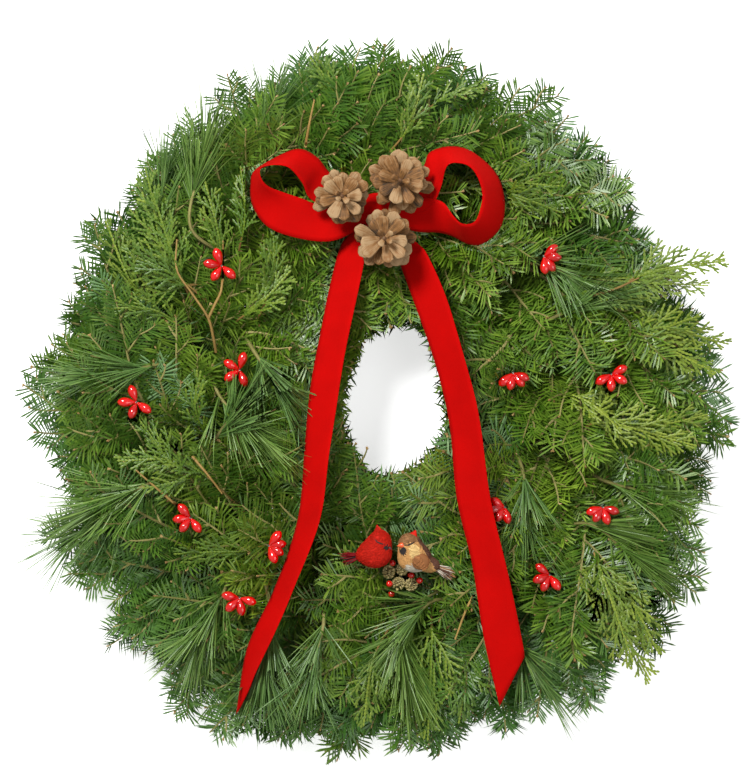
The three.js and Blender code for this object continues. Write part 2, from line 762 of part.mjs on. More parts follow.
// The nearest foliage stem to a point, with those below it first: where its middle line comes closest
function nearestStem(point) {
  let best = null;
  for (const stem of placed.filter((one) => one.stem)) {
    const along = stem.to.clone().sub(stem.from);
    const share = THREE.MathUtils.clamp(
      point.clone().sub(stem.from).dot(along) / along.lengthSq(),
      0,
      1,
    );
    const closest = stem.from.clone().addScaledVector(along, share);
    const level = Math.hypot(closest.x - point.x, closest.y - point.y);
    const score = closest.distanceTo(point) + level;
    if (!best || score < best.score) {
      best = { closest, score };
    }
  }
  return best.closest;
}

// A fine wire from one point towards another, ended just short of whatever solid it meets
function seatedWire(from, target, solids, radius = FINE_WIRE) {
  const direction = target.clone().sub(from).normalize();
  const up = Math.abs(direction.z) > 0.9 ? vec(0, 1, 0) : UP;
  const wire = (length) =>
    wireSolid([from, from.clone().addScaledVector(direction, length)], radius, 4, up);
  let short = 0;
  let long = target.distanceTo(from) + 3;
  for (let i = 0; i < 12; i++) {
    const middle = (short + long) / 2;
    const near = solids.some((solid) => solid.minGap(wire(middle), FIT_GAP) < FIT_GAP);
    [short, long] = near ? [short, middle] : [middle, long];
  }
  return wire(short);
}

function placeBerries() {
  BERRY_CLUSTERS.forEach((cluster, i) => {
    const name = `berry_cluster_${String(i + 1).padStart(2, "0")}`;
    cluster.name = name;
    for (const { from, direction } of berryEnds(cluster)) {
      place(from, from.clone().addScaledVector(direction, BERRY_LENGTH), BERRY_RADIUS, name);
    }
    const centre = vec(cluster.x, cluster.y, clusterHeight(cluster));
    place(centre, nearestStem(centre), FINE_WIRE, name);
  });
}

function clusterSolid(cluster, solids) {
  const centre = vec(cluster.x, cluster.y, clusterHeight(cluster));
  const berries = berryEnds(cluster).map(({ from, direction }) =>
    berrySolid(from, direction, BERRY_LENGTH, BERRY_RADIUS),
  );
  const hub = ovalSolid(centre, vec(3, 3, 2.4), 4, 3);
  return joined([hub, seatedWire(centre, nearestStem(centre), solids), ...berries]);
}

// ---- birds and their pick ----

const RED_BIRD = {
  name: "red_bird",
  body: vec(-3, -149, BIRD_HEIGHT),
  head: vec(2, -137, BIRD_HEIGHT + 3),
  crest: vec(-2, -122, BIRD_HEIGHT + 4),
  beak: vec(10.5, -143, BIRD_HEIGHT + 7),
  tail: vec(-38, -156, BIRD_HEIGHT - 4),
};
const TAN_BIRD = {
  name: "tan_bird",
  body: vec(35, -153, BIRD_HEIGHT),
  head: vec(30, -140, BIRD_HEIGHT + 3),
  crest: vec(36, -126, BIRD_HEIGHT + 4),
  beak: vec(20.5, -142, BIRD_HEIGHT + 7),
  tail: vec(76, -173, BIRD_HEIGHT - 4),
};
const BODY_HALF = vec(15, 13, 12);
const HEAD_HALF = vec(9.5, 9.5, 9);
const WING_HALF = vec(9, 8, 4);

const grown = (half, extra) => half.clone().addScalar(extra);

function tailSolid(from, to, width) {
  const along = to.clone().sub(from);
  const across = along.clone().cross(UP).setLength(width / 2);
  const points = [];
  for (const [share, spread] of [[0, 0.5], [1, 1]]) {
    for (const [way, rise] of [[-1, 1.2], [1, 1.2], [1, -1.2], [-1, -1.2]]) {
      points.push(
        from.clone().addScaledVector(along, share).addScaledVector(across, way * spread).add(vec(0, 0, rise)),
      );
    }
  }
  const box = [[0, 1, 5, 4], [1, 2, 6, 5], [2, 3, 7, 6], [3, 0, 4, 7], [3, 2, 1, 0], [4, 5, 6, 7]];
  return solidFrom(points, box.flatMap(([a, b, c, d]) => [[a, b, c], [a, c, d]]));
}

function spikeSolid(from, to, radius, sides) {
  return rodSolid([{ point: from, radius }, { point: to, radius: 0 }], sides);
}

function bodySolid(bird, extra) {
  const heading = Math.atan2(bird.head.y - bird.tail.y, bird.head.x - bird.tail.x);
  return ovalSolid(bird.body, grown(BODY_HALF, extra), 8, 6, THREE.MathUtils.radToDeg(heading));
}

function headSolid(bird, extra) {
  return ovalSolid(bird.head, grown(HEAD_HALF, extra), 7, 5);
}

function birdSolid(bird, solids, withCrest) {
  const parts = [
    bodySolid(bird, 0),
    headSolid(bird, 0),
    tailSolid(bird.body, bird.tail, 9),
    seatedWire(bird.body, nearestStem(bird.body), solids, 1.2),
  ];
  if (withCrest) {
    parts.push(spikeSolid(bird.head, bird.crest, 6, 4));
  }
  return joined(parts);
}

// A piece set on a bird: cut back so that it stands off the body and head by the fit gap
function setOn(bird, piece) {
  return joined([piece.subtract(bodySolid(bird, 2 * FIT_GAP)).subtract(headSolid(bird, 2 * FIT_GAP))]);
}

const CONE_PICK_FOOT = vec(20, -171, 62);
const BERRY_PICK_FOOT = vec(26, -176, 58);
const SMALL_CONES = [vec(10, -169, 76), vec(23, -166, 74), vec(20, -178, 76), vec(31, -181, 74)];
const ROUND_BERRIES = [
  vec(14, -159, 80),
  vec(11, -179, 82),
  vec(13, -189, 78),
  vec(32, -171, 78),
  vec(40, -176, 78),
];

function smallConePick(solids) {
  const profile = [[0, -7], [5, -4], [4.4, -2], [6, 0.5], [3.6, 4], [0, 7]];
  const parts = SMALL_CONES.flatMap((centre) => {
    const points = profile.map(([x, y]) => new THREE.Vector2(x, y));
    const geometry = new THREE.LatheGeometry(points, 5).rotateX(Math.PI / 2);
    return [
      solidOf(geometry.translate(centre.x, centre.y, centre.z)),
      wireSolid([centre, CONE_PICK_FOOT], FINE_WIRE, 3),
    ];
  });
  return joined([...parts, seatedWire(CONE_PICK_FOOT, nearestStem(CONE_PICK_FOOT), solids, 1.2)]);
}

// A berry's wire drops from it before it bends in to the foot of the pick.
function roundBerryWire(centre) {
  return [centre, centre.clone().setZ(centre.z - 14).lerp(BERRY_PICK_FOOT, 0.15), BERRY_PICK_FOOT];
}

function roundBerryPick(solids) {
  const parts = ROUND_BERRIES.flatMap((centre) => [
    ovalSolid(centre, vec(3.2, 3.2, 3.2), 5, 3),
    wireSolid(roundBerryWire(centre), 0.7, 3, vec(0, 1, 0)),
  ]);
  return joined([...parts, seatedWire(BERRY_PICK_FOOT, nearestStem(BERRY_PICK_FOOT), solids, 1.2)]);
}

function placeBirds() {
  for (const bird of [RED_BIRD, TAN_BIRD]) {
    place(bird.body, bird.head, 16, bird.name);
    place(bird.body, bird.tail, 5, bird.name);
    place(bird.head, bird.crest, 5, bird.name);
    place(bird.body, nearestStem(bird.body), 1.2, bird.name);
  }
  for (const centre of SMALL_CONES) {
    place(centre, centre, 7, "small_cone_pick");
    place(centre, CONE_PICK_FOOT, FINE_WIRE, "small_cone_pick");
  }
  place(CONE_PICK_FOOT, nearestStem(CONE_PICK_FOOT), 1.2, "small_cone_pick");
  for (const centre of ROUND_BERRIES) {
    place(centre, centre, 3.2, "round_berry_pick");
    placePath(roundBerryWire(centre), 0.7, "round_berry_pick");
  }
  place(BERRY_PICK_FOOT, nearestStem(BERRY_PICK_FOOT), 1.2, "round_berry_pick");
}

// ---- assembly ----

const wreath = new THREE.Group();
placeRing();

const bunches = clampClocks.map((clock, i) => {
  const random = makeRandom(FIR_NEEDLE.seed + i);
  const name = `fir_bunch_${String(i + 1).padStart(2, "0")}`;
  const sprays = FIR_SPRAYS.map((spray) => sprayTwigs(firPath(clock, spray, random), spray));
  return { name, clock, random, sprays };
});
for (const { name, clock, sprays } of bunches) {
  const middle = onClock(clock, RING_RADIUS, BUTT_HEIGHT);
  const along = onClock(clock + 90, BUTT_LENGTH / 2, 0);
  place(middle.clone().sub(along), middle.clone().add(along), BUTT_RADIUS, name);
  for (const twigs of sprays) {
    for (const twig of twigs) {
      placePath(twig.curve.getSpacedPoints(8), twig.radius, name, true);
    }
  }
}

const pines = PINE_SPRAYS.map((spray, i) => ({ name: `pine_spray_${i + 1}`, curve: stemPath(spray), i }));
const cedars = CEDAR_FRONDS.map((spray, i) => ({ name: `cedar_frond_${i + 1}`, curve: stemPath(spray), i }));
for (const { name, curve } of [...pines, ...cedars]) {
  placePath(curve.getSpacedPoints(16), STEM_RADIUS, name, true);
}
for (const { name, curve } of cedars) {
  placeFrond(curve, FROND_START, name);
}
placeBow();
placeCones();
placeBerries();
placeBirds();

const foliage = [];

function addPiece(solid, name, colour, roughness, metalness) {
  wreath.add(meshOf(solid, name, colour, roughness, metalness));
  return solid;
}

addPiece(ringSolid(), "wire_ring", COLOURS.steel, 0.5, 0.6);

for (const { name, clock, random, sprays } of bunches) {
  const grow = needleGrower(FIR_NEEDLE, name, random);
  const twigs = sprays.flat().map((twig) =>
    rodSolid(twigStations(twig.curve, twig.length, twig.radius, 0.9, twig.bare, twig.whorls), 3, grow),
  );
  foliage.push(addPiece(joined([buttSolid(clock), ...twigs]), name, COLOURS.fir));
}

for (const { name, curve, i } of pines) {
  const length = curve.getLength();
  const grow = needleGrower(PINE_NEEDLE, name, makeRandom(PINE_NEEDLE.seed + i));
  const stations = twigStations(curve, length, STEM_RADIUS, 1.5, length - 44, 4, STEM_BENDS);
  foliage.push(addPiece(rodSolid(stations, 3, grow), name, COLOURS.pine));
}

for (const { name, curve } of cedars) {
  const stem = wireSolid(curve.getSpacedPoints(18).slice(0, 10), STEM_RADIUS * 0.8, 3);
  foliage.push(addPiece(joined([stem, frondSolid(curve, FROND_START)]), name, COLOURS.cedar));
}

const knot = ovalSolid(KNOT, KNOT_HALF);
const bow = addPiece(joined([knot, ...RIBBONS.map(ribbonSolid)]), "bow_ribbon", COLOURS.velvet, 0.9);
addPiece(wireSolid(BOW_WIRE, FINE_WIRE, 4, vec(0, 1, 0)), "bow_wire", COLOURS.steel, 0.5, 0.6);
for (const cone of PINE_CONES) {
  addPiece(pineConeSolid(cone, bow), cone.name, COLOURS.cone);
}
for (const cluster of BERRY_CLUSTERS) {
  addPiece(clusterSolid(cluster, foliage), cluster.name, COLOURS.berry, 0.15);
}

addPiece(birdSolid(RED_BIRD, foliage, true), "red_bird", COLOURS.redBird);
const redBeak = spikeSolid(RED_BIRD.head, RED_BIRD.beak, 4, 5);
addPiece(setOn(RED_BIRD, redBeak), "red_bird_beak", COLOURS.beak, 0.5);

addPiece(birdSolid(TAN_BIRD, foliage, false), "tan_bird", COLOURS.tanBird);
const crest = spikeSolid(TAN_BIRD.head, TAN_BIRD.crest, 6, 4);
addPiece(setOn(TAN_BIRD, crest), "tan_bird_crest", COLOURS.redBird);
const tanBeak = spikeSolid(TAN_BIRD.head, TAN_BIRD.beak, 4, 5);
addPiece(setOn(TAN_BIRD, tanBeak), "tan_bird_beak", COLOURS.orangeBeak, 0.5);
const wing = ovalSolid(TAN_BIRD.body.clone().add(vec(5, -3, 11)), WING_HALF);
addPiece(setOn(TAN_BIRD, wing), "tan_bird_wing", COLOURS.wing);

addPiece(smallConePick(foliage), "small_cone_pick", COLOURS.smallCone);
addPiece(roundBerryPick(foliage), "round_berry_pick", COLOURS.berry, 0.2);

export default wreath;
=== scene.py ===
"""Fresh evergreen wreath: dense foliage, velvet bow, cones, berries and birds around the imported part."""
import json
import math

import bpy
import numpy as np
from bpy.props import FloatProperty, FloatVectorProperty, IntProperty, PointerProperty
from bpy.types import Operator, Panel, PropertyGroup
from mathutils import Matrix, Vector

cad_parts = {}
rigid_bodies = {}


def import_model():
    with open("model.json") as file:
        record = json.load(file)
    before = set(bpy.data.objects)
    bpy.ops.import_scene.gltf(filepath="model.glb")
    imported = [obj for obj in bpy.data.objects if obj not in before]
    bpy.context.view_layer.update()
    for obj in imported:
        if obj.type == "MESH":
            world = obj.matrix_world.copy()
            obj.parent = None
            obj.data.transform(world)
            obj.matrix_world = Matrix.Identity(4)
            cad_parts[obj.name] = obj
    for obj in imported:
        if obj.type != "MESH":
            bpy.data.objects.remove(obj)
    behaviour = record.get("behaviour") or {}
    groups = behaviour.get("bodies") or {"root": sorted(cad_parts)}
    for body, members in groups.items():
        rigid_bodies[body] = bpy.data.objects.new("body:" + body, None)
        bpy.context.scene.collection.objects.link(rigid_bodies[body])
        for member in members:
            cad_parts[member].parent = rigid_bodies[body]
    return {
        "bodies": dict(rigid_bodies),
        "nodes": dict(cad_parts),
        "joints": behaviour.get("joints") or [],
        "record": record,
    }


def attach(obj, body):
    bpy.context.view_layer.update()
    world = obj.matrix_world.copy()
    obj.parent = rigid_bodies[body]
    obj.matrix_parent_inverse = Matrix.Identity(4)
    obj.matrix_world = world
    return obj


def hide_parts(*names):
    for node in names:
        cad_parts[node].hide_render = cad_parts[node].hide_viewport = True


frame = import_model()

bl_info = {
    "name": "Fresh Evergreen Wreath",
    "version": (1, 0, 0),
    "blender": (4, 5, 0),
    "location": "3D View > Sidebar > Wreath",
    "description": "Dresses the packed wreath with needles, ribbon, cones, berries and birds",
    "category": "Add Mesh",
}

# Lengths in this script are millimetres in the part's own frame, and MM turns them into metres.
MM = 0.001
UP = np.array([0.0, 0.0, 1.0])
# Where the points round an upright tube start
ASIDE = np.array([0.0, 1.0, 0.0])
BODY = "root"

# Ring and clamps
RING_RADIUS = 178.0
WIRE_RADIUS = 2.0
CLAMP_CLOCKS = [30.0 * i for i in range(12)]
PRONG_RADIUS = 1.3
PRONG_OFFSET = 6.8
PRONG_TOP = 21.5
PRONG_BEND = 3.0
PRONG_END_OFFSET = 3.4
BUTT_RADIUS = 4.5
BUTT_LENGTH = 38.0
BUTT_HEIGHT = 8.85
STEM_RADIUS = 2.2
SLOT_ANGLE = 0.4
FIT_GAP = 0.35
RING_STEPS = 144
RING_SIDES = 10

# Foliage
WREATH_RADIUS = 328.0
FOLIAGE_TOP = 104.0
FOLIAGE_FLOOR = 1.5
# Heights between which painted shade on the inner foliage fades out: near black low down, its own colour
# higher up
DEEP = 24.0
OPEN = 74.0
# Distances from the middle between which that shade fades, as light reaches the rim from the side
RIM_IN = 275.0
RIM_OUT = 318.0
HOLE_CENTRE = (13.0, 0.0)
HOLE_HALF = (60.0, 80.0)
FROND_START = 0.5
FROND_DROOP = 0.004
BRANCHLET_WIDTH = 2.9
# How far the tips of a spray, and single needles on it, may miss the outer edge and the hole's edge
SPRAY_PAST_EDGE = (-28, 20)
NEEDLE_PAST_EDGE = 15
NEEDLE_PAST_HOLE = (-9, 5)
# Distance out beyond which a spray counts as an outer one, and over how far it comes to count in full
OUTER_FROM = 250
OUTER_OVER = 80
# Side twigs: shortest and longest, how far apart, and the length from which they fork
SIDE_TWIG_REACH = (18, 74)
SIDE_TWIG_SPACING = (14.5, 21)
FORKED_FROM = 46
# Tips above this height have fine needles
FINE_ABOVE = 34
# Solid sprays that reach beyond this follow the outer table, and others keep their own reach
SOLID_OUTER_FROM = 280
# How far a tip stops short of the hole's edge, and how far the finer sprays come in past that edge
TIP_TO_HOLE = 14
FILL_INTO_HOLE = 6
SPRAY_POINTS = 36
# Longest stretch of a pine stem with needles, and needles in a bundle
PINE_REACH = 52.0
BUNDLE = 5
# A frond is this wide against its length, and has so many points. Far out on the right it is yellower.
FROND_SPREAD = 0.4
FROND_POINTS = 60
YELLOW_FROM = 190
YELLOW_TONE = 0.52
GREEN_TONE = 0.32

# First seed of each kind of piece. The seeds of the fir are also those of the solid bunches.
FIR_SEED = 100
PINE_SEED = 400
SMALL_PINE_SEED = 420
CEDAR_SEED = 500
SPRIG_SEED = 520
BARE_TWIG_SEED = 560
CONE_SEED = 600
BERRY_SEED = 700
RED_BIRD_SEED = 801
TAN_BIRD_SEED = 802
CONE_PICK_SEED = 820
BERRY_PICK_SEED = 821

# Camera, in metres: what it looks at, how high that lies and how much it takes in
VIEW_CENTRE = (-0.0029, 0.0086)
VIEW_LEVEL = 0.09
VIEW_HEIGHT = 0.747
SENSOR = 36.0
FLOOR_HALF = 8.0

# Bow, cones, berries and birds
KNOT = np.array([-3.0, 181.0, 90.0])
CONE_BASE_HEIGHT = 106.0
BERRY_LENGTH = 17.4
BERRY_RADIUS = 4.5
BIRD_HEIGHT = 92.0

# The four sprays of a bunch, as the solids have them: turn, distance out and height of middle and tip
SOLID_SPRAYS = [
    ((7, 15), (258, WREATH_RADIUS), (18, 22)),
    ((15, 31), (240, WREATH_RADIUS - 12), (40, 58)),
    ((24, 45), (206, 248), (44, 72)),
    ((20, 38), (138, 0), (26, 42)),
]
# The sprays that lie between them. A tip that lies 0 out ends at the edge of the hole.
FILL_SPRAYS = [
    ((4, 6), (264, 322), (9, 12)),
    ((11, 23), (262, 320), (30, 40)),
    ((17, 37), (240, 300), (54, 70)),
    ((13, 27), (228, 280), (50, 78)),
    ((21, 41), (196, 214), (54, 86)),
    ((16, 33), (168, 168), (46, 80)),
    ((22, 42), (150, 0), (38, 62)),
    ((12, 26), (142, 0), (14, 22)),
    ((9, 17), (214, 262), (26, 52)),
    ((26, 48), (226, 268), (60, 84)),
    ((22, 46), (176, 180), (58, 84)),
    ((24, 50), (160, 146), (52, 76)),
    ((27, 53), (192, 208), (60, 86)),
    ((6, 10), (296, 338), (36, 44)),
    ((17, 22), (294, 334), (20, 30)),
    ((22, 30), (276, 326), (56, 62)),
    ((15, 27), (132, 0), (28, 38)),
    ((25, 44), (142, 0), (62, 74)),
    ((8, 15), (140, 0), (46, 58)),
    ((30, 55), (150, 0), (60, 78)),
    ((3, 5), (268, 324), (44, 52)),
    ((13, 17), (270, 328), (34, 34)),
    ((10, 21), (250, 312), (60, 64)),
]
# Flat sprays low down, which close the foliage against the ground
BACK_SPRAYS = [
    ((3, 8), (250, 306), (6, 8)),
    ((12, 19), (240, 302), (8, 10)),
    ((20, 30), (226, 296), (12, 14)),
    ((6, 14), (160, 0), (5, 8)),
    ((16, 27), (150, 0), (8, 10)),
    ((22, 40), (176, 176), (14, 20)),
    ((20, 36), (204, 232), (18, 24)),
    ((26, 46), (190, 214), (24, 30)),
    ((10, 24), (182, 156), (22, 28)),
]
# How far out the foliage reaches at every 30 degrees of the clock, against its mean: the solid
# sprays, and the finer ones between them
REACH = [1.01, 0.975, 0.955, 0.965, 1.03, 1.045, 1.0, 1.06, 1.0, 0.965, 0.94, 0.96]
FILL_REACH = [1.07, 1.04, 1.01, 1.03, 1.09, 1.12, 1.09, 1.135, 1.08, 1.05, 1.01, 1.02]
# The outer edge of the needles at every 20 degrees of the clock
OUTER_EDGE = [346, 336, 332, 316, 322, 338, 354, 360, 358, 348, 366, 358, 345, 330, 328, 322, 320, 342]
# The open middle: distance from the wreath's centre to the needles at every 30 degrees of the clock
HOLE_REACH = [60, 72, 62, 57, 68, 68, 70, 46, 34, 28, 27, 36]


def on_clock(degrees, radius, height):
    """A point given as on a clock face: degrees clockwise from twelve, distance out, height."""
    angle = math.radians(degrees)
    return np.array([math.sin(angle) * radius, math.cos(angle) * radius, height])


def by_clock(table, degrees):
    """A value from a table that goes round the clock in even steps, eased between entries."""
    values = np.asarray(table, float)
    count = len(values)
    turns = np.asarray(degrees, float) * (count / 360.0)
    low = np.floor(turns).astype(int)
    share = turns - low
    share = share * share * (3 - 2 * share)
    return values[low % count] * (1 - share) + values[(low + 1) % count] * share


def make_random(seed):
    """The same repeatable numbers from 0 to 1 as the solids' own."""
    state = seed
    word = 0xFFFFFFFF

    def draw():
        nonlocal state
        state = (state + 0x6D2B79F5) & word
        mixed = ((state ^ (state >> 15)) * (state | 1)) & word
        mixed ^= (mixed + ((mixed ^ (mixed >> 7)) * (mixed | 61))) & word
        return ((mixed ^ (mixed >> 14)) & word) / 4294967296

    return draw


def unit(vectors):
    """The vectors at length 1."""
    vectors = np.asarray(vectors, float)
    return vectors / np.maximum(np.linalg.norm(vectors, axis=-1, keepdims=True), 1e-9)


def evenly(points, count):
    """count points spaced evenly along a line of points."""
    points = np.asarray(points, float)
    steps = np.linalg.norm(np.diff(points, axis=0), axis=1)
    along = np.concatenate([[0], np.cumsum(steps)])
    wanted = np.linspace(0, along[-1], count)
    return np.stack([np.interp(wanted, along, points[:, k]) for k in range(3)], axis=1)


def curve_through(rows, steps, ease):
    """Rows on a smooth curve through the rows given, with even steps from each to the next.

    ease gives the curve's direction where it leaves and where it reaches a pair of rows, from the four
    rows round that pair.
    """
    p = np.asarray(rows, float)
    p = np.vstack([2 * p[0] - p[1], p, 2 * p[-1] - p[-2]])
    share = column(np.linspace(0, 1, steps, endpoint=False))
    found = []
    for a, b, c, d in zip(p, p[1:], p[2:], p[3:]):
        leave, arrive = ease(a, b, c, d)
        square = 3 * (c - b) - 2 * leave - arrive
        cube = 2 * (b - c) + leave + arrive
        found.append(b + leave * share + square * share**2 + cube * share**3)
    return np.vstack(found + [p[-2:-1]])


def tight_ease(a, b, c, d):
    """Directions that keep a curve from swinging out where its corners lie close together."""
    before, within, after = (max(np.linalg.norm(x), 1e-6) ** 0.5 for x in (b - a, c - b, d - c))
    return (((b - a) / before - (c - a) / (before + within) + (c - b) / within) * within,
            ((c - b) / within - (d - b) / (within + after) + (d - c) / after) * within)


def even_ease(a, b, c, d):
    """Directions for rows that lie about evenly spaced."""
    return (c - a) / 2, (d - b) / 2


def smooth_path(corners, count):
    """count evenly spaced points along a smooth curve through the corners."""
    return evenly(curve_through(corners, 20, tight_ease), count)


def path_length(path):
    """The length of a line of points."""
    return float(np.linalg.norm(np.diff(path, axis=0), axis=1).sum())


def point_at(path, share):
    """The point at a share of an evenly spaced path's length."""
    place = np.clip(share, 0, 1) * (len(path) - 1)
    return np.stack([np.interp(place, np.arange(len(path)), path[:, k]) for k in range(3)], axis=-1)


def frames_along(path, up=UP):
    """Tangent, level side and normal at each point of a path."""
    tangent = unit(np.gradient(path, axis=0))
    side = unit(np.cross(tangent, up))
    return tangent, side, np.cross(side, tangent)


def frame_at(frames, share):
    """Tangent, side and normal at a share, or shares, of an evenly spaced path's length."""
    return [unit(point_at(values, share)) for values in frames]


def turns_round(count):
    """Angles in even steps round a circle."""
    return np.arange(count) * 2 * math.pi / count


def column(values):
    """One number for each point, ready to scale its vector."""
    return np.asarray(values)[:, None]


class Form:
    """Gathers the faces of one piece, each with its finish, and makes the object from them.

    Each point has a growth: its tone from 0 to 1, how far along its needle, scale or leaf it is, and
    its hue, from 0 for yellowish to 1 for bluish, which on a plate is how far across it the point is.
    """

    def __init__(self, hue=0.5):
        self.hue = hue
        self.points = []
        self.faces = []
        self.finishes = []
        self.growth = []
        self.count = 0

    def add(self, points, faces, finish=0, tone=0.5, along=0.0, hue=None):
        """faces is one array of triangles or quads, or a list of them; finish may be one per array."""
        points = np.asarray(points, float).reshape(-1, 3)
        blocks = faces if isinstance(faces, list) else [faces]
        finishes = finish if isinstance(finish, (list, tuple)) else [finish] * len(blocks)
        for block, one in zip(blocks, finishes):
            block = np.asarray(block, np.int64)
            self.faces.append(block + self.count)
            self.finishes.append(np.full(len(block), one, np.int32))
        growth = np.zeros((len(points), 3))
        growth[:, 0] = tone
        growth[:, 1] = along
        growth[:, 2] = self.hue if hue is None else hue
        self.growth.append(growth)
        self.points.append(points)
        self.count += len(points)

    def build(self, name, finishes, settle=None):
        """The object, in metres: smooth, or flat needles that settle presses to where they lie."""
        points = np.vstack(self.points)
        if settle is not None:
            points = settle(points)
        mesh = bpy.data.meshes.new(name)
        mesh.vertices.add(len(points))
        mesh.vertices.foreach_set("co", (points * MM).astype(np.float32).ravel())
        sizes = np.concatenate([np.full(len(block), block.shape[1]) for block in self.faces])
        corners = np.concatenate([block.ravel() for block in self.faces])
        mesh.loops.add(len(corners))
        mesh.loops.foreach_set("vertex_index", corners.astype(np.int32))
        mesh.polygons.add(len(sizes))
        starts = np.concatenate([[0], np.cumsum(sizes)[:-1]])
        mesh.polygons.foreach_set("loop_start", starts.astype(np.int32))
        mesh.polygons.foreach_set("material_index", np.concatenate(self.finishes))
        mesh.polygons.foreach_set("use_smooth", np.full(len(sizes), settle is None))
        growth = mesh.attributes.new("growth", "FLOAT_VECTOR", "POINT")
        growth.data.foreach_set("vector", np.vstack(self.growth).astype(np.float32).ravel())
        mesh.update(calc_edges=True)
        mesh.validate()
        for finish in finishes:
            mesh.materials.append(finish)
        piece = bpy.data.objects.new(name, mesh)
        bpy.context.scene.collection.objects.link(piece)
        return piece


def grid_faces(rows, columns):
    """Quads between rows of points, each row a closed ring."""
    row, place = np.meshgrid(np.arange(rows - 1), np.arange(columns), indexing="ij")
    low = row * columns + place
    beside = row * columns + (place + 1) % columns
    return np.stack([low, beside, beside + columns, low + columns], axis=-1).reshape(-1, 4)


def closed_faces(rows, columns, turned=False):
    """Quads between closed rings of points, and fans that join both ends to the two points after."""
    around = np.arange(columns)
    after = (around + 1) % columns
    last = (rows - 1) * columns
    tip = np.full(columns, rows * columns)
    sides = grid_faces(rows, columns)
    caps = np.vstack([np.stack([after, around, tip], axis=1),
                      np.stack([around + last, after + last, tip + 1], axis=1)])
    return [sides[:, ::-1], caps[:, [1, 0, 2]]] if turned else [sides, caps]


def add_tube(form, path, radii, sides=6, finish=0, tone=0.5, up=UP):
    """A round stem or wire with closed ends along a path."""
    path = np.asarray(path, float)
    radii = np.broadcast_to(np.asarray(radii, float), (len(path),))
    _, side, normal = frames_along(path, up)
    turn = column(turns_round(sides))
    ring = side[:, None] * np.cos(turn) + normal[:, None] * np.sin(turn)
    points = path[:, None] + ring * radii[:, None, None]
    along = np.concatenate([np.repeat(np.linspace(0, 1, len(path)), sides), [0, 1]])
    form.add(np.vstack([points.reshape(-1, 3), path[0], path[-1]]), closed_faces(len(path), sides),
             finish, tone, along)


def add_wire(form, path, radius, finish=1, sides=6):
    """A wire along a path that may also run straight up."""
    add_tube(form, path, radius, sides, finish, up=ASIDE)


def ways_out(columns, rows):
    """Directions all round a point, in rows from the top down and then both poles; the rows' tilts."""
    tilt = np.linspace(0, math.pi, rows + 1)[1:-1]
    turn = turns_round(columns)
    ring = np.stack([
        np.outer(np.sin(tilt), np.cos(turn)),
        np.outer(np.sin(tilt), np.sin(turn)),
        np.outer(np.cos(tilt), np.ones(columns)),
    ], axis=-1).reshape(-1, 3)
    return np.vstack([ring, UP, -UP]), tilt


def across_from(way):
    """A direction square to the one given."""
    return unit(np.cross(way, UP if abs(way[2]) < 0.9 else ASIDE))


def add_oval(form, centre, half, columns=12, rows=8, finish=0, tone=0.5, axis=None):
    """A closed oval. axis is where its third half length points; upwards if left out."""
    ways, tilt = ways_out(columns, rows)
    points = ways * np.asarray(half, float)
    along = np.concatenate([np.repeat(tilt / math.pi, columns), [0, 1]])
    if axis is not None:
        third = unit(axis)
        first = across_from(third)
        points = points @ np.stack([first, np.cross(third, first), third])
    form.add(points + np.asarray(centre, float), closed_faces(rows - 1, columns, turned=True), finish,
             tone, along)


# ---- where the foliage may be ----


class Ceiling:
    """How high the foliage may stand: under the bow, cones, berries and birds it lies lower."""

    CELL = 3.0
    REACH = 400.0

    def __init__(self, top):
        cells = int(2 * self.REACH / self.CELL)
        self.heights = np.full((cells, cells), top)

    def cell(self, values):
        """The row or column of the table for places across or along the wreath."""
        found = ((np.asarray(values) + self.REACH) / self.CELL).astype(int)
        return np.clip(found, 0, len(self.heights) - 1)

    def press(self, points, radius, gap):
        """Keeps what lies within a radius of each point below it by the gap."""
        for x, y, z in np.asarray(points, float).reshape(-1, 3):
            spot = (slice(self.cell(x - radius), self.cell(x + radius) + 1),
                    slice(self.cell(y - radius), self.cell(y + radius) + 1))
            self.heights[spot] = np.minimum(self.heights[spot], z - gap)

    def at(self, points):
        return self.heights[self.cell(points[..., 0]), self.cell(points[..., 1])]

    def settle(self, points):
        """Presses points down under what lies on them, and keeps them off the ground."""
        height = np.minimum(points[:, 2], self.at(points))
        return np.column_stack([points[:, :2], np.maximum(height, FOLIAGE_FLOOR)])


def beyond(table, points, margin):
    """How far points lie outside an edge that goes round the clock, moved out by the margin."""
    clock = np.degrees(np.arctan2(points[..., 0], points[..., 1])) % 360
    return np.hypot(points[..., 0], points[..., 1]) - (by_clock(table, clock) + margin)


def cut_at_edge(path, margin):
    """The path as far as the outer edge of the needles, with as many points as before."""
    past = np.flatnonzero(beyond(OUTER_EDGE, path, margin) > 0)
    return evenly(path[: max(3, past[0])], len(path)) if len(past) else path


# ---- needles and twigs ----

TOP, UNDER, BARK, BUD = range(4)


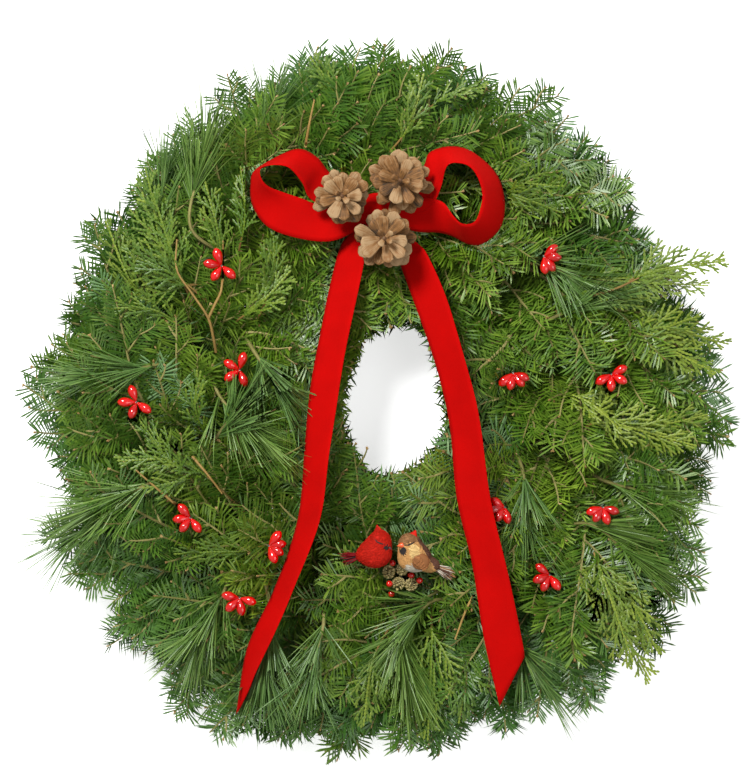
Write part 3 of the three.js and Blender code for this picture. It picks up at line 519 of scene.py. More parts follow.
def add_needles(form, roots, ways, ups, lengths, width, tone, curl, fine):
    """Flat needles with a keel beneath; fine ones keep their width for two thirds of their length."""
    count = len(roots)
    if not count:
        return
    side = unit(np.cross(ways, ups))
    up = np.cross(side, ways)
    lengths = np.broadcast_to(np.asarray(lengths, float), (count,))[:, None]
    shares = [0.0, 0.68] if fine else [0.12]
    widths = [0.55, 1.0] if fine else [1.0]
    rings = []
    along = []
    for share, wide in zip(shares, widths):
        middle = roots + ways * lengths * share + up * curl * lengths * share**2
        half = width * wide / 2
        rings += [middle - side * half, middle + side * half, middle - up * half * 0.55]
        along += [share] * 3
    rings.append(roots + ways * lengths + up * curl * lengths)
    along.append(1.0)
    points = np.stack(rings, axis=1)
    each = len(rings)
    base = (np.arange(count) * each)[:, None]
    last = each - 4
    tip = each - 1
    tops = [base + [last, last + 1, tip]]
    unders = [base + [last + 1, last + 2, tip], base + [last + 2, last, tip], base + [0, 2, 1]]
    if fine:
        tops.append(base + [0, 1, 4, 3])
        unders += [base + [1, 2, 5, 4], base + [2, 0, 3, 5]]
    tones = np.repeat(np.broadcast_to(tone, (count,)), each)
    form.add(points, tops + unders, [TOP] * len(tops) + [UNDER] * len(unders), tones,
             np.tile(along, count))


class Look:
    """How the needles of one fir spray stand."""

    def __init__(self, rng, length, width, spacing, tone, fine=True, tilt=0.17):
        self.length = length * rng.uniform(0.88, 1.08)
        self.width = width
        self.spacing = spacing
        self.tone = tone
        self.fine = fine
        self.turned = fine and rng.random() < 0.035
        self.brush = 0.1 if self.turned else rng.uniform(0.05, 0.5)
        self.lean = rng.uniform(60, 74)
        self.edge = rng.uniform(*SPRAY_PAST_EDGE)
        tilt = rng.normal(0, tilt, 2)
        self.up = unit(np.array([tilt[0], tilt[1], 1.0]))


def add_fir_twig(form, path, bare, radius, look, rng):
    """One twig: its bark, comb-like needles on both sides, some on top, and buds at its tip."""
    length = path_length(path)
    add_tube(form, path, np.linspace(radius, 0.75, len(path)), 5, BARK, rng.uniform(0.2, 0.9))
    places = np.arange(bare, length - 0.5, look.spacing)
    if len(places) < 2:
        return
    sides = np.tile([-1.0, 1.0], len(places))
    places = np.repeat(places, 2)
    on_top = rng.random(len(places)) < look.brush * 0.45
    extra = places[on_top]
    places = np.concatenate([places, extra])
    sides = np.concatenate([sides, rng.choice([-1.0, 1.0], len(extra))])
    raised = np.concatenate([
        rng.normal(7, 6, len(sides) - len(extra)),
        rng.uniform(28, 80, len(extra)),
    ])
    places = np.clip(places + rng.uniform(-0.8, 0.8, len(places)), 0, length)
    share = places / length
    tangent, side, normal = frame_at(frames_along(path, look.up), share)
    to_tip = np.clip((places - length + 16) / 16, 0, 1)
    from_base = np.clip((places - bare) / 10, 0, 1)
    lean = np.radians(look.lean + rng.normal(0, 3.5, len(places)) - 34 * to_tip**1.5 - raised * 0.12)
    raised = np.radians(raised)
    across = side * column(sides * np.cos(raised))
    above = normal * column(np.sin(raised)) * (-0.6 if look.turned else 1.0)
    ways = unit(tangent * column(np.cos(lean)) + (across + above) * column(np.sin(lean)))
    ups = normal * (-1.0 if look.turned else 1.0) - tangent * 0.35
    lengths = look.length * rng.uniform(0.82, 1.1, len(places))
    lengths *= (0.62 + 0.38 * from_base) * (1 - 0.3 * to_tip)
    roots = point_at(path, share)
    tips = roots + ways * column(lengths)
    off_hole = beyond(HOLE_REACH, tips, rng.uniform(*NEEDLE_PAST_HOLE, len(tips))) >= 0
    off_edge = beyond(OUTER_EDGE, tips, look.edge + rng.uniform(0, NEEDLE_PAST_EDGE, len(tips))) <= 0
    keep = off_hole & off_edge
    tones = np.clip(look.tone + rng.normal(0, 0.09, len(places)) + 0.12 * to_tip, 0, 1)
    add_needles(form, roots[keep], ways[keep], ups[keep], lengths[keep], look.width, tones[keep],
                rng.uniform(-0.02, 0.1), look.fine)
    add_buds(form, path[-1], tangent[-1], rng)


def add_buds(form, tip, way, rng):
    """Two or three small scaly buds where a twig ends."""
    for _ in range(rng.integers(0, 4)):
        lean = unit(way + rng.normal(0, 0.4, 3))
        add_oval(form, tip + lean * 1.4, (1.0, 1.0, 1.9), 5, 3, BUD, rng.uniform(0.1, 0.9), lean)


def side_twig_path(root, tangent, side, normal, way, length, rng):
    """A side twig that leaves its stem to one side and swings forward."""
    lean = math.radians(rng.uniform(42, 54))
    out = tangent * math.cos(lean) + side * way * math.sin(lean) + normal * rng.normal(0.02, 0.08)
    share = np.linspace(0, 1, 7)[:, None]
    forward = (tangent - out) * 0.28 * share**2
    return root + (out * share + forward) * length - UP * 0.0012 * length**2 * share**2


def add_fir_spray(form, main, look, rng):
    """A flat spray: a main twig with side twigs in turn on both sides, shorter towards its tip."""
    main = cut_at_edge(main, look.edge)
    length = path_length(main)
    add_fir_twig(form, main, length * 0.3, 2.2, look, rng)
    frames = frames_along(main, look.up)
    place = length * rng.uniform(0.26, 0.32)
    way = rng.choice([-1, 1])
    while place < length - 16:
        share = place / length
        reach = float(np.clip(0.5 * (length - place) + 12, *SIDE_TWIG_REACH)) * rng.uniform(0.8, 1.12)
        twig = side_twig_path(point_at(main, share), *frame_at(frames, share), way, reach, rng)
        twig = cut_at_edge(twig, look.edge)
        add_fir_twig(form, twig, 3, 1.3, look, rng)
        if reach > FORKED_FROM:
            root, *frame = (point_at(f, 0.45) for f in (twig, *frames_along(twig, look.up)))
            fork = side_twig_path(root, *frame, way, reach * 0.4, rng)
            add_fir_twig(form, cut_at_edge(fork, look.edge), 2, 1.0, look, rng)
        way = -way
        place += rng.uniform(*SIDE_TWIG_SPACING)


def hole_edge(degrees):
    """Distance from the middle to the edge of the open hole of the solids, in a clock direction."""
    x, y, _ = on_clock(degrees, 1, 0)
    (half_x, half_y), (cx, cy) = HOLE_HALF, HOLE_CENTRE
    p = (x / half_x) ** 2 + (y / half_y) ** 2
    q = x * cx / half_x**2 + y * cy / half_y**2
    w = (cx / half_x) ** 2 + (cy / half_y) ** 2 - 1
    return (q + math.sqrt(q * q - p * w)) / p


def spray_path(clock, spray, swing, stretch, lift, edge=hole_edge):
    """The main twig of a spray, from its clamp over its middle to its tip."""
    (middle_turn, tip_turn), (middle_out, tip_out), (middle_height, tip_height) = spray
    tip_clock = clock + tip_turn + swing
    out = tip_out * stretch if tip_out else edge(tip_clock) + TIP_TO_HOLE
    root = on_clock(clock, RING_RADIUS, BUTT_HEIGHT) + on_clock(clock + 90, BUTT_LENGTH * 0.3, 0)
    middle = on_clock(clock + middle_turn + swing * 0.5, middle_out, middle_height + lift * 0.5)
    return smooth_path([root, middle, on_clock(tip_clock, out, tip_height + lift)], SPRAY_POINTS)


def solid_spray_paths(clock, seed):
    """The main twigs where the solids of a bunch have them."""
    draw = make_random(seed)
    paths = []
    for spray in SOLID_SPRAYS:
        swing = (draw() - 0.5) * 5
        stretch = 0.96 + 0.07 * draw()
        lift = (draw() - 0.5) * 8
        reach = by_clock(REACH, clock + spray[0][1]) if spray[1][1] > SOLID_OUTER_FROM else 1.0
        paths.append(spray_path(clock, spray, swing, stretch * float(reach), lift))
    return paths


def fill_spray_paths(sprays, clock, rng):
    """The main twigs of the sprays that lie between the solid ones."""
    paths = []
    for spray in sprays:
        reach = by_clock(FILL_REACH, clock + spray[0][1]) if spray[1][1] > OUTER_FROM else 1.0
        stretch = rng.uniform(0.97, 1.03) * float(reach)
        lift = rng.uniform(-10, 10) if spray[2][1] > 24 else rng.uniform(-2, 2)
        paths.append(spray_path(clock, spray, rng.uniform(-5, 5), stretch, lift,
                                lambda degrees: float(by_clock(HOLE_REACH, degrees)) - FILL_INTO_HOLE))
    return paths


def add_butts(form, clock, rng):
    """The cut ends of a bunch's stems, side by side in their clamp."""
    middle = on_clock(clock, RING_RADIUS, BUTT_HEIGHT)
    along = on_clock(clock + 90, 1, 0)
    out = on_clock(clock, 1, 0)
    for k in range(6):
        turn = k * math.pi / 3
        offset = (out * math.cos(turn) + UP * math.sin(turn)) * 2.6
        ends = np.array([-0.5 * rng.uniform(0.8, 1.0), -0.2, 0.1, 0.5])[:, None] * BUTT_LENGTH
        add_tube(form, middle + offset + along * ends, 1.9, 7, BARK, rng.uniform(0.2, 0.8))


def fir_bunch(index, clock, settings):
    """A dense bunch: the twigs of the solid one, and those that lie between them."""
    rng = np.random.default_rng(FIR_SEED + index)
    form = Form()
    add_butts(form, clock, rng)
    length, width = settings.fir_needle_length / MM, settings.fir_needle_width / MM
    spacing = settings.fir_needle_spacing / MM
    for main in fill_spray_paths(BACK_SPRAYS, clock, rng):
        # The low back sprays take a dark tone, painted shade under the sprays above them
        look = Look(rng, length, width * 1.7, spacing, 0.2, False)
        form.hue = 0.5
        add_fir_spray(form, main, look, rng)
    for main in solid_spray_paths(clock, FIR_SEED + index) + fill_spray_paths(FILL_SPRAYS, clock, rng):
        tip_out = math.hypot(*main[-1][:2])
        outer = np.clip((tip_out - OUTER_FROM) / OUTER_OVER, 0, 1)
        # Painted shade and light: tips lower down take a darker tone, higher ones a lighter one
        tone = 0.42 - 0.02 * outer + 0.004 * (main[-1][2] - 60) + rng.normal(0, 0.1)
        form.hue = float(np.clip(0.25 + 0.45 * outer + rng.normal(0, 0.2), 0, 1))
        fine = main[-1][2] > FINE_ABOVE
        look = Look(rng, length, width, spacing * (1 - 0.14 * outer), tone, fine, 0.17 + 0.14 * outer)
        add_fir_spray(form, main, look, rng)
    return form


# ---- pine tufts and cedar sprays ----

# Each: the clamp that holds it, its slot there (-1 inner, 1 outer), then middle and tip of its stem
PINE_SPRAYS = [
    (8, 1, (-208, -76, 82), (-264, -102, 82)),
    (9, 1, (-214, 32, 76), (-262, 22, 82)),
    (9, -1, (-150, -2, 82), (-118, -34, 86)),
    (10, 1, (-180, 164, 88), (-168, 232, 86)),
    (7, 1, (-150, -190, 76), (-172, -228, 80)),
    (7, -1, (-104, -205, 80), (-110, -258, 84)),
    (6, 1, (14, -208, 80), (26, -262, 84)),
    (4, 1, (206, -122, 78), (236, -146, 82)),
    (1, -1, (150, 136, 80), (186, 116, 84)),
]
# Smaller tufts between them: root, middle and tip of each
PINE_FILLERS = [
    [(-60, -196, 40), (-52, -214, 78), (-64, -262, 84)],
    [(90, -206, 40), (52, -196, 80), (24, -226, 88)],
    [(118, -220, 40), (136, -240, 70), (154, -268, 70)],
    [(-196, 130, 40), (-210, 160, 74), (-206, 214, 80)],
    [(128, -40, 40), (140, -72, 78), (142, -118, 84)],
    [(196, -60, 40), (214, -78, 70), (262, -92, 74)],
    [(150, 60, 40), (162, 74, 80), (206, 92, 84)],
    [(-120, 200, 30), (-116, 236, 64), (-104, 272, 64)],
    [(-226, -60, 30), (-244, -106, 64), (-292, -132, 62)],
    [(-168, -58, 60), (-154, -36, 90), (-136, -12, 94)],
    [(-128, 58, 60), (-116, 40, 90), (-96, 12, 92)],
]
CEDAR_FRONDS = [
    (1, 1, (206, 116, 76), (318, 108, 82)),
    (2, 1, (232, 66, 76), (326, 24, 80)),
    (3, 1, (210, -24, 84), (306, -46, 88)),
    (4, -1, (204, -172, 80), (262, -272, 82)),
    (5, 1, (52, -238, 78), (48, -330, 78)),
    (8, -1, (-184, -78, 90), (-234, -14, 94)),
    (10, -1, (-192, 112, 80), (-224, 222, 86)),
    (0, 1, (72, 206, 78), (182, 204, 84)),
]
# Smaller sprigs between them: root, middle and tip, and how long the bare stem is as a share
CEDAR_SPRIGS = [
    ([(-176, 80, 60), (-198, 140, 88), (-216, 196, 92)], 0.3),
    ([(-150, 96, 60), (-152, 150, 88), (-166, 208, 92)], 0.35),
    ([(-190, 60, 60), (-236, 108, 82), (-262, 170, 84)], 0.25),
    ([(-140, 120, 60), (-128, 176, 88), (-132, 222, 92)], 0.35),
    ([(-130, -110, 60), (-186, -62, 92), (-250, -60, 90)], 0.35),
    ([(-160, -50, 60), (-176, -8, 90), (-170, 26, 94)], 0.2),
    ([(-96, -150, 60), (-150, -148, 86), (-196, -150, 88)], 0.3),
    ([(206, 90, 60), (258, 120, 84), (334, 132, 84)], 0.35),
    ([(214, 40, 60), (268, 66, 80), (338, 52, 78)], 0.3),
    ([(170, 10, 60), (206, -6, 88), (236, -34, 92)], 0.2),
    ([(226, -28, 60), (272, -26, 80), (318, -16, 80)], 0.2),
    ([(204, -136, 60), (218, -178, 96), (244, -252, 98)], 0.18),
    ([(210, -150, 60), (240, -190, 94), (270, -246, 92)], 0.3),
    ([(18, -212, 60), (-4, -250, 82), (-14, -316, 80)], 0.35),
    ([(70, -220, 60), (84, -262, 78), (78, -314, 76)], 0.3),
    ([(92, 206, 60), (128, 196, 88), (176, 178, 92)], 0.25),
    ([(20, 250, 60), (66, 292, 78), (104, 300, 80)], 0.45),
    ([(-40, 250, 50), (-46, 300, 72), (-66, 330, 70)], 0.45),
    ([(6, 232, 60), (30, 262, 84), (44, 312, 84)], 0.3),
    ([(-150, 66, 60), (-112, 92, 90), (-84, 122, 94)], 0.3),
    ([(-120, 70, 60), (-102, 110, 90), (-100, 164, 94)], 0.3),
    ([(-176, 56, 60), (-214, 84, 90), (-264, 86, 90)], 0.3),
    ([(-164, 92, 60), (-196, 118, 92), (-246, 142, 90)], 0.3),
]
# Bare cedar twigs that show between the sprays
BARE_TWIGS = [
    [(-156, 44, 84), (-158, 58, 93), (-162.4, 76.2, 99), (-178, 100, 100), (-192.5, 122.5, 99),
     (-193, 152, 92)],
    [(-162.4, 76.2, 98), (-156, 90, 99), (-150.4, 102, 98), (-149, 128, 95), (-149, 151, 88)],
    [(-70, 242, 84), (-66, 262, 94), (-61, 286, 94)],
    [(204, 98, 92), (226, 104, 98), (250, 115, 96)],
    [(-178, -56, 96), (-163.3, -73, 100), (-149.6, -91.8, 92)],
    [(-190, -106, 92), (-219.8, -79.7, 98), (-232, -69, 96)],
    [(104, -176, 84), (88, -196, 92), (74, -232, 88)],
]
LEAF, STEM = range(2)


def stem_path(spray, points=40):
    """A single stem: along the bunch in its clamp, up over the foliage, then to its tip."""
    clamp, slot, middle, tip = spray
    clock = CLAMP_CLOCKS[clamp]
    reach = BUTT_RADIUS * math.cos(math.pi / 6) + STEM_RADIUS + FIT_GAP
    seat = on_clock(clock, RING_RADIUS + slot * math.sin(SLOT_ANGLE) * reach,
                    BUTT_HEIGHT + math.cos(SLOT_ANGLE) * reach)
    along = on_clock(clock + 90, 1, 0)
    riser = on_clock(clock + 13, RING_RADIUS + 4 + 6 * slot, 48)
    return smooth_path([seat - along * 14, seat - along * 4, seat + along * 7, riser, middle, tip], points)


def add_pine_tuft(form, path, length, width, bundles, rng, tone):
    """Long fine needles, five to a bundle, around the last stretch of a stem."""
    whole = path_length(path)
    add_tube(form, path, np.linspace(STEM_RADIUS, 1.3, len(path)), 6, BARK, rng.uniform(0.2, 0.7))
    reach = min(PINE_REACH, whole * 0.5)
    share = 1 - (reach / whole) * rng.random(bundles) ** 0.8
    share[: bundles // 5] = 1
    tangent, side, normal = frame_at(frames_along(path), share)
    turn = rng.uniform(0, 2 * math.pi, bundles)
    lean = np.radians(rng.uniform(6, 46, bundles))
    out = side * column(np.cos(turn)) + normal * column(np.sin(turn) * 0.7 + 0.18)
    ways = unit(tangent * column(np.cos(lean)) + out * column(np.sin(lean)))
    roots = np.repeat(point_at(path, share), BUNDLE, axis=0)
    ways = unit(np.repeat(ways, BUNDLE, axis=0) + rng.normal(0, 0.075, (BUNDLE * bundles, 3)))
    count = len(ways)
    lengths = length * column(rng.uniform(0.72, 1.12, count))
    across = unit(np.cross(ways, UP + rng.normal(0, 0.3, (count, 3))))
    above = np.cross(across, ways)
    bow = column(rng.normal(0, 0.05, count)) * across - column(rng.uniform(0.0, 0.09, count)) * UP
    turns = np.array([0, 2.1, 4.2])
    rings = []
    along = []
    for t, wide in ((0.0, 0.8), (0.33, 1.0), (0.7, 0.9)):
        middle = roots + ways * lengths * t + bow * lengths * t**2
        for angle in turns:
            edge = across * math.cos(angle) + above * math.sin(angle)
            rings.append(middle + edge * width * 0.5 * wide)
            along.append(t)
    rings.append(roots + ways * lengths + bow * lengths)
    along.append(1.0)
    base = (np.arange(count) * 10)[:, None]
    quads = [base + [low + k, low + (k + 1) % 3, low + 3 + (k + 1) % 3, low + 3 + k]
             for low in (0, 3) for k in range(3)]
    tips = [base + [6 + k, 6 + (k + 1) % 3, 9] for k in range(3)] + [base + [0, 2, 1]]
    tones = np.repeat(np.clip(tone + rng.normal(0, 0.12, count), 0, 1), 10)
    form.add(np.stack(rings, axis=1), quads + tips, TOP, tones, np.tile(along, count))
    add_buds(form, path[-1], unit(path[-1] - path[-2]), rng)


def add_scale_strip(form, path, up, width, tone):
    """A cedar branchlet: scale leaves in pairs, whose tips make its edges toothed."""
    length = path_length(path)
    count = max(4, 2 * int(length / 3.4) + 1)
    path = evenly(path, count)
    tangent, side, normal = frames_along(path, up)
    share = np.linspace(0, 1, count)
    leafy = np.arange(count) % 2 == 1
    flare = np.where(leafy, 1.0, 0.56)
    half = column(width / 2 * flare * (1 - 0.25 * share**3))
    thick = column(0.55 * flare**0.5 * (1 - 0.4 * share))
    lag = tangent * column(np.where(leafy, 0.9, 0.0))
    rings = np.stack([path - side * half + lag, path + normal * thick, path + side * half + lag,
                      path - normal * thick], axis=1).reshape(-1, 3)
    tip = path[-1] + tangent[-1] * width * 0.4
    last = (count - 1) * 4
    ends = [[last + k, last + (k + 1) % 4, len(rings)] for k in range(4)] + [[0, 2, 1], [0, 3, 2]]
    tones = np.append(np.repeat(tone + 0.16 * share + 0.1 * (flare > 0.9), 4), tone + 0.25)
    along = np.append(np.repeat(flare, 4), 1.0)
    form.add(np.vstack([rings, tip]), [grid_faces(count, 4)[:, ::-1], np.array(ends)], LEAF,
             np.clip(tones, 0, 1), along)


def add_frond(form, path, start, rng, tone):
    """A flat cedar frond: branchlets in turn on both sides of its rib, each with its own."""
    path = evenly(path, FROND_POINTS)
    whole = path_length(path)
    length = whole * (1 - start)
    tilt = rng.normal(0, 0.3, 2)
    up = unit(np.array([tilt[0], tilt[1], 1.0]))
    frames = frames_along(path, up)
    rib = evenly(path[int(start * (FROND_POINTS - 1)):], 24)
    hue, form.hue = form.hue, 0.0
    add_scale_strip(form, rib, up, BRANCHLET_WIDTH, tone + 0.1)
    form.hue = hue
    place = length * 0.04
    way = rng.choice([-1, 1])
    while place < length - 7:
        share = start + place / whole
        t, s, n = frame_at(frames, share)
        reach = (length - place) * FROND_SPREAD * rng.uniform(0.6, 1.25) + 9
        reach *= 0.62 + 0.38 * min(1.0, place / (0.18 * length))
        lean = math.radians(rng.uniform(28, 48))
        out = t * math.cos(lean) + s * way * math.sin(lean) + n * rng.normal(0, 0.16)
        steps = np.linspace(0, 1, 12)[:, None]
        droop = UP * FROND_DROOP * (reach * steps) ** 2 * 0.5
        branch = point_at(path, share) + (out * steps + (t - out) * 0.22 * steps**2) * reach - droop
        add_scale_strip(form, branch, up, BRANCHLET_WIDTH, tone + rng.normal(0, 0.09))
        small_way = -way
        small = 5.0
        branch_frames = frames_along(branch, up)
        while small < reach - 4:
            part = small / reach
            ct, cs, cn = frame_at(branch_frames, part)
            size = (reach - small) * 0.45 * rng.uniform(0.6, 1.3) + 4.0
            leaf_out = ct * 0.8 + cs * small_way * 0.6 + cn * rng.normal(0, 0.15)
            ends = np.linspace(0, 1, 5)[:, None]
            leaf = point_at(branch, part) + (leaf_out * ends + (ct - leaf_out) * 0.2 * ends**2) * size
            add_scale_strip(form, leaf, up, BRANCHLET_WIDTH - 0.1, tone + rng.normal(0.03, 0.1))
            small_way = -small_way
            small += rng.uniform(4.6, 6.8)
        way = -way
        place += rng.uniform(5.4, 8.4) if length > 60 else rng.uniform(4.6, 7.0)


def add_cedar_stem(form, path, radius, rng):
    """A brown stem that grows thinner towards its end."""
    add_tube(form, path, np.linspace(radius, radius * 0.55, len(path)), 6, STEM, rng.uniform(0.3, 0.9))


# ---- ring ----


def wire_ring():
    """The ring and its clamp prongs, round where the solid one has flats."""
    form = Form()
    clocks = np.linspace(0, 360, RING_STEPS + 1)[:-1]
    points = [on_clock(clock, RING_RADIUS + math.cos(turn) * WIRE_RADIUS,
                       WIRE_RADIUS + math.sin(turn) * WIRE_RADIUS)
              for clock in clocks for turn in turns_round(RING_SIDES)]
    last = (RING_STEPS - 1) * RING_SIDES
    seam = [[last + k, last + after, after, k]
            for k, after in ((k, (k + 1) % RING_SIDES) for k in range(RING_SIDES))]
    form.add(points, [grid_faces(RING_STEPS, RING_SIDES), np.array(seam)])
    for clock in CLAMP_CLOCKS:
        for way in (-1, 1):
            corners = [on_clock(clock, RING_RADIUS + way * offset, height) for offset, height in (
                (0, WIRE_RADIUS), (PRONG_OFFSET, PRONG_RADIUS + 2),
                (PRONG_OFFSET, PRONG_TOP - PRONG_BEND), (PRONG_END_OFFSET, PRONG_TOP))]
            add_tube(form, smooth_path(corners, 16), PRONG_RADIUS, 8, up=on_clock(clock + 90, 1, 0))
    return form


# ---- bow ----

# Stations along a ribbon: x and y of its back edge, x and y of its front edge, the height of its
# middle, and how much higher the front edge is.
LEFT_LOOP = [
    (-10, 190, -12, 178, 90, 2), (-30, 207, -44, 181, 90, 12), (-47, 217, -65, 191, 92, 17),
    (-59, 232, -73, 206, 96, 22), (-81, 239, -86, 220, 100, 30), (-116, 221, -109, 220, 103, 36),
    (-123, 204, -112, 213, 103, 34), (-120, 184, -107, 203, 103, 28), (-107, 165, -92, 197, 102, 9),
    (-81, 154, -73, 191, 99, 3), (-47, 150, -56, 185, 96, 2), (-22, 160, -26, 184, 94, 1),
    (-6, 174, -8, 186, 92, 1),
]
RIGHT_LOOP = [
    (4, 188, 6, 178, 90, 2), (26, 205, 36, 176, 91, 12), (43, 222, 52, 184, 93, 18),
    (50, 236, 60, 202, 97, 22), (68, 242, 67, 222, 101, 31), (92, 236, 83, 222, 103, 31),
    (113, 216, 95, 210, 103, 30), (122, 189, 99, 192, 103, 29), (117, 163, 96, 175, 103, 30),
    (102, 149, 89, 166, 102, 30), (86, 148, 80, 166, 101, 32), (71, 156, 71, 174, 98, 26),
    (56, 159, 62, 187, 96, 20), (36, 160, 44, 191, 95, 14), (16, 166, 20, 188, 93, 6),
    (2, 174, 4, 186, 91, 2),
]
LEFT_TAIL = [
    (-12, 172, 0, 176, 88, 1), (-25, 160, -8, 166, 87, 10), (-34, 150, -11, 146, 87, 20),
    (-41, 131, -13, 131, 88, 22), (-53, 75, -25, 75, 92, 23), (-64, 17, -36, 17, 94, 24),
    (-71, -50, -46, -50, 96, 27), (-77, -117, -56, -117, 98, 30), (-101, -186, -82, -186, 97, 31),
    (-127, -244, -110, -248, 92, 32), (-137, -306, -121, -272, 84, 22),
]
RIGHT_TAIL = [
    (-10, 174, 2, 172, 88, 1), (4, 158, 22, 160, 87, 10), (14, 144, 40, 146, 87, 18),
    (20, 132, 49, 134, 88, 20), (37, 86, 68, 88, 92, 18), (59, 20, 87, 22, 94, 22),
    (69, -28, 98, -26, 95, 22), (76, -97, 107, -95, 96, 18), (91, -163, 123, -162, 95, 16),
    (102, -232, 138, -231, 90, 4), (117, -297, 141, -249, 84, 4),
]
RIBBONS = [LEFT_LOOP, RIGHT_LOOP, LEFT_TAIL, RIGHT_TAIL]
RIBBON_STEPS = 7
RIBBON_COLUMNS = 9


def ribbon_rows(stations):
    """Points across the ribbon at each step along it, and the directions out of its face."""
    rows = curve_through(stations, RIBBON_STEPS, even_ease)
    rise = rows[:, 5:6] / 2
    back = np.hstack([rows[:, 0:2], rows[:, 4:5] - rise])
    front = np.hstack([rows[:, 2:4], rows[:, 4:5] + rise])
    share = np.linspace(0, 1, RIBBON_COLUMNS)
    across = back[:, None] * (1 - share)[:, None] + front[:, None] * share[:, None]
    along = np.gradient(across, axis=0)
    out = unit(np.cross(front[:, None] - back[:, None], along))
    crown = np.sin(share * math.pi)[:, None] * 0.9
    sway = np.sin(np.arange(len(rows)) * 0.55)[:, None, None] * 0.35
    return across + out * (crown + sway * (share - 0.5)[:, None] * 2), out


def add_ribbon(form, stations, thickness):
    """A stretch of ribbon with two faces and rounded selvedges."""
    across, out = ribbon_rows(stations)
    count = len(across)
    half = thickness / 2 * column([0.35] + [1.0] * (RIBBON_COLUMNS - 2) + [0.35])
    loop = np.concatenate([across + out * half, (across - out * half)[:, ::-1]], axis=1)
    columns = 2 * RIBBON_COLUMNS
    caps = []
    for row, turned in ((0, False), (count - 1, True)):
        base = row * columns
        for k in range(RIBBON_COLUMNS - 1):
            quad = [base + k, base + columns - 1 - k, base + columns - 2 - k, base + k + 1]
            caps.append(quad[::-1] if turned else quad)
    along = np.repeat(np.linspace(0, 1, count), columns)
    form.add(loop, [grid_faces(count, columns), np.array(caps)], 0, 0.5, along)


def ribbon_length(stations):
    """The length of a stretch of ribbon along its middle."""
    across, _ = ribbon_rows(stations)
    return path_length(across[:, RIBBON_COLUMNS // 2])


def bow_gather():
    """The pinched middle of the bow: ribbon drawn into folds."""
    form = Form()
    columns, rows = 36, 14
    tilt = np.linspace(0.06, math.pi - 0.06, rows)[:, None]
    turn = turns_round(columns)[None, :]
    fold = 1 + 0.09 * np.sin(turn * 6 + 1.3 * np.cos(tilt))
    points = np.stack([
        np.cos(tilt) * 17 + 0 * turn,
        np.sin(tilt) * np.cos(turn) * 15 * fold,
        np.sin(tilt) * np.sin(turn) * 7.5 * fold,
    ], axis=-1)
    ends = [[17.4, 0, 0], [-17.4, 0, 0]]
    form.add(np.vstack([points.reshape(-1, 3), ends]) + KNOT, closed_faces(rows, columns))
    return form


def bow_wire():
    """The wire from the knot down to the ring."""
    form = Form()
    path = [KNOT + [-4, -2, -7.4], (-22, 176, 58), on_clock(-9, RING_RADIUS, 4.4)]
    add_wire(form, smooth_path(path, 20), 0.8, 0, 8)
    return form


# ---- cones, berries, birds and picks ----

# Centre, radius and turn of each pine cone
PINE_CONES = {
    "left": ((-34, 191), 26, 8),
    "right": ((21, 206), 29.5, 20),
    "lower": ((6, 151), 28, 2),
}
# Rows of cone scales: how many, reach against the cone's radius, foot height, lean in degrees
CONE_ROWS = [(9, 1.08, 1, 2), (8, 1.03, 9, 8), (8, 0.88, 17, 16), (4, 0.42, 26, 50)]
# Centre of each berry cluster and the directions of its berries, anticlockwise from the right
BERRY_CLUSTERS = [
    (-150, 127, (110, 172, 237, 317)), (159, 136, (38, 355, 275, 306)),
    (-133, 27, (75, 150, 215, 290)), (130, 24, (222, 258, 309, 338)),
    (224, 23, (25, 212, 270, 330)), (-232, -4, (110, 180, 250, 325)),
    (-180, -115, (131, 186, 235, 305)), (-105, -142, (50, 8, 330, 293)),
    (-133, -192, (170, 225, 278, 343)), (122, -105, (150, 190, 236, 282)),
    (216, -105, (200, 238, 287, 342)), (165, -170, (143, 200, 245, 303)),
]
RED_BIRD = {"body": (-3, -149, 92), "head": (2, -137, 95), "crest": (-2, -122, 96),
            "beak": (10.5, -143, 99), "tail": (-38, -156, 88), "rump": 0.24}
TAN_BIRD = {"body": (35, -153, 92), "head": (30, -140, 95), "crest": (36, -126, 96),
            "beak": (21.4, -141, 101.5), "tail": (76, -173, 88), "rump": 0.36}
BODY_HALF = (15, 13, 12)
HEAD_HALF = (9.5, 9.5, 9)
# The skin's points round and down, how softly its ovals blend, and the tufts of down on it
SKIN_COLUMNS = 88
SKIN_ROWS = 64
SKIN_BLEND = 1.2
TUFTS = 1500
CONE_PICK_FOOT = np.array([20.0, -171, 62])
SMALL_CONES = [(10, -169, 76), (23, -166, 74), (20, -178, 76), (31, -181, 74)]
SMALL_CONE_RADIUS = 6.0
SMALL_CONE_HALF = 7.0
BERRY_PICK_FOOT = np.array([26.0, -176, 58])
ROUND_BERRIES = [(14, -159, 80), (11, -179, 82), (13, -189, 78), (32, -171, 78), (40, -176, 78)]
ROUND_BERRY_RADIUS = 3.2


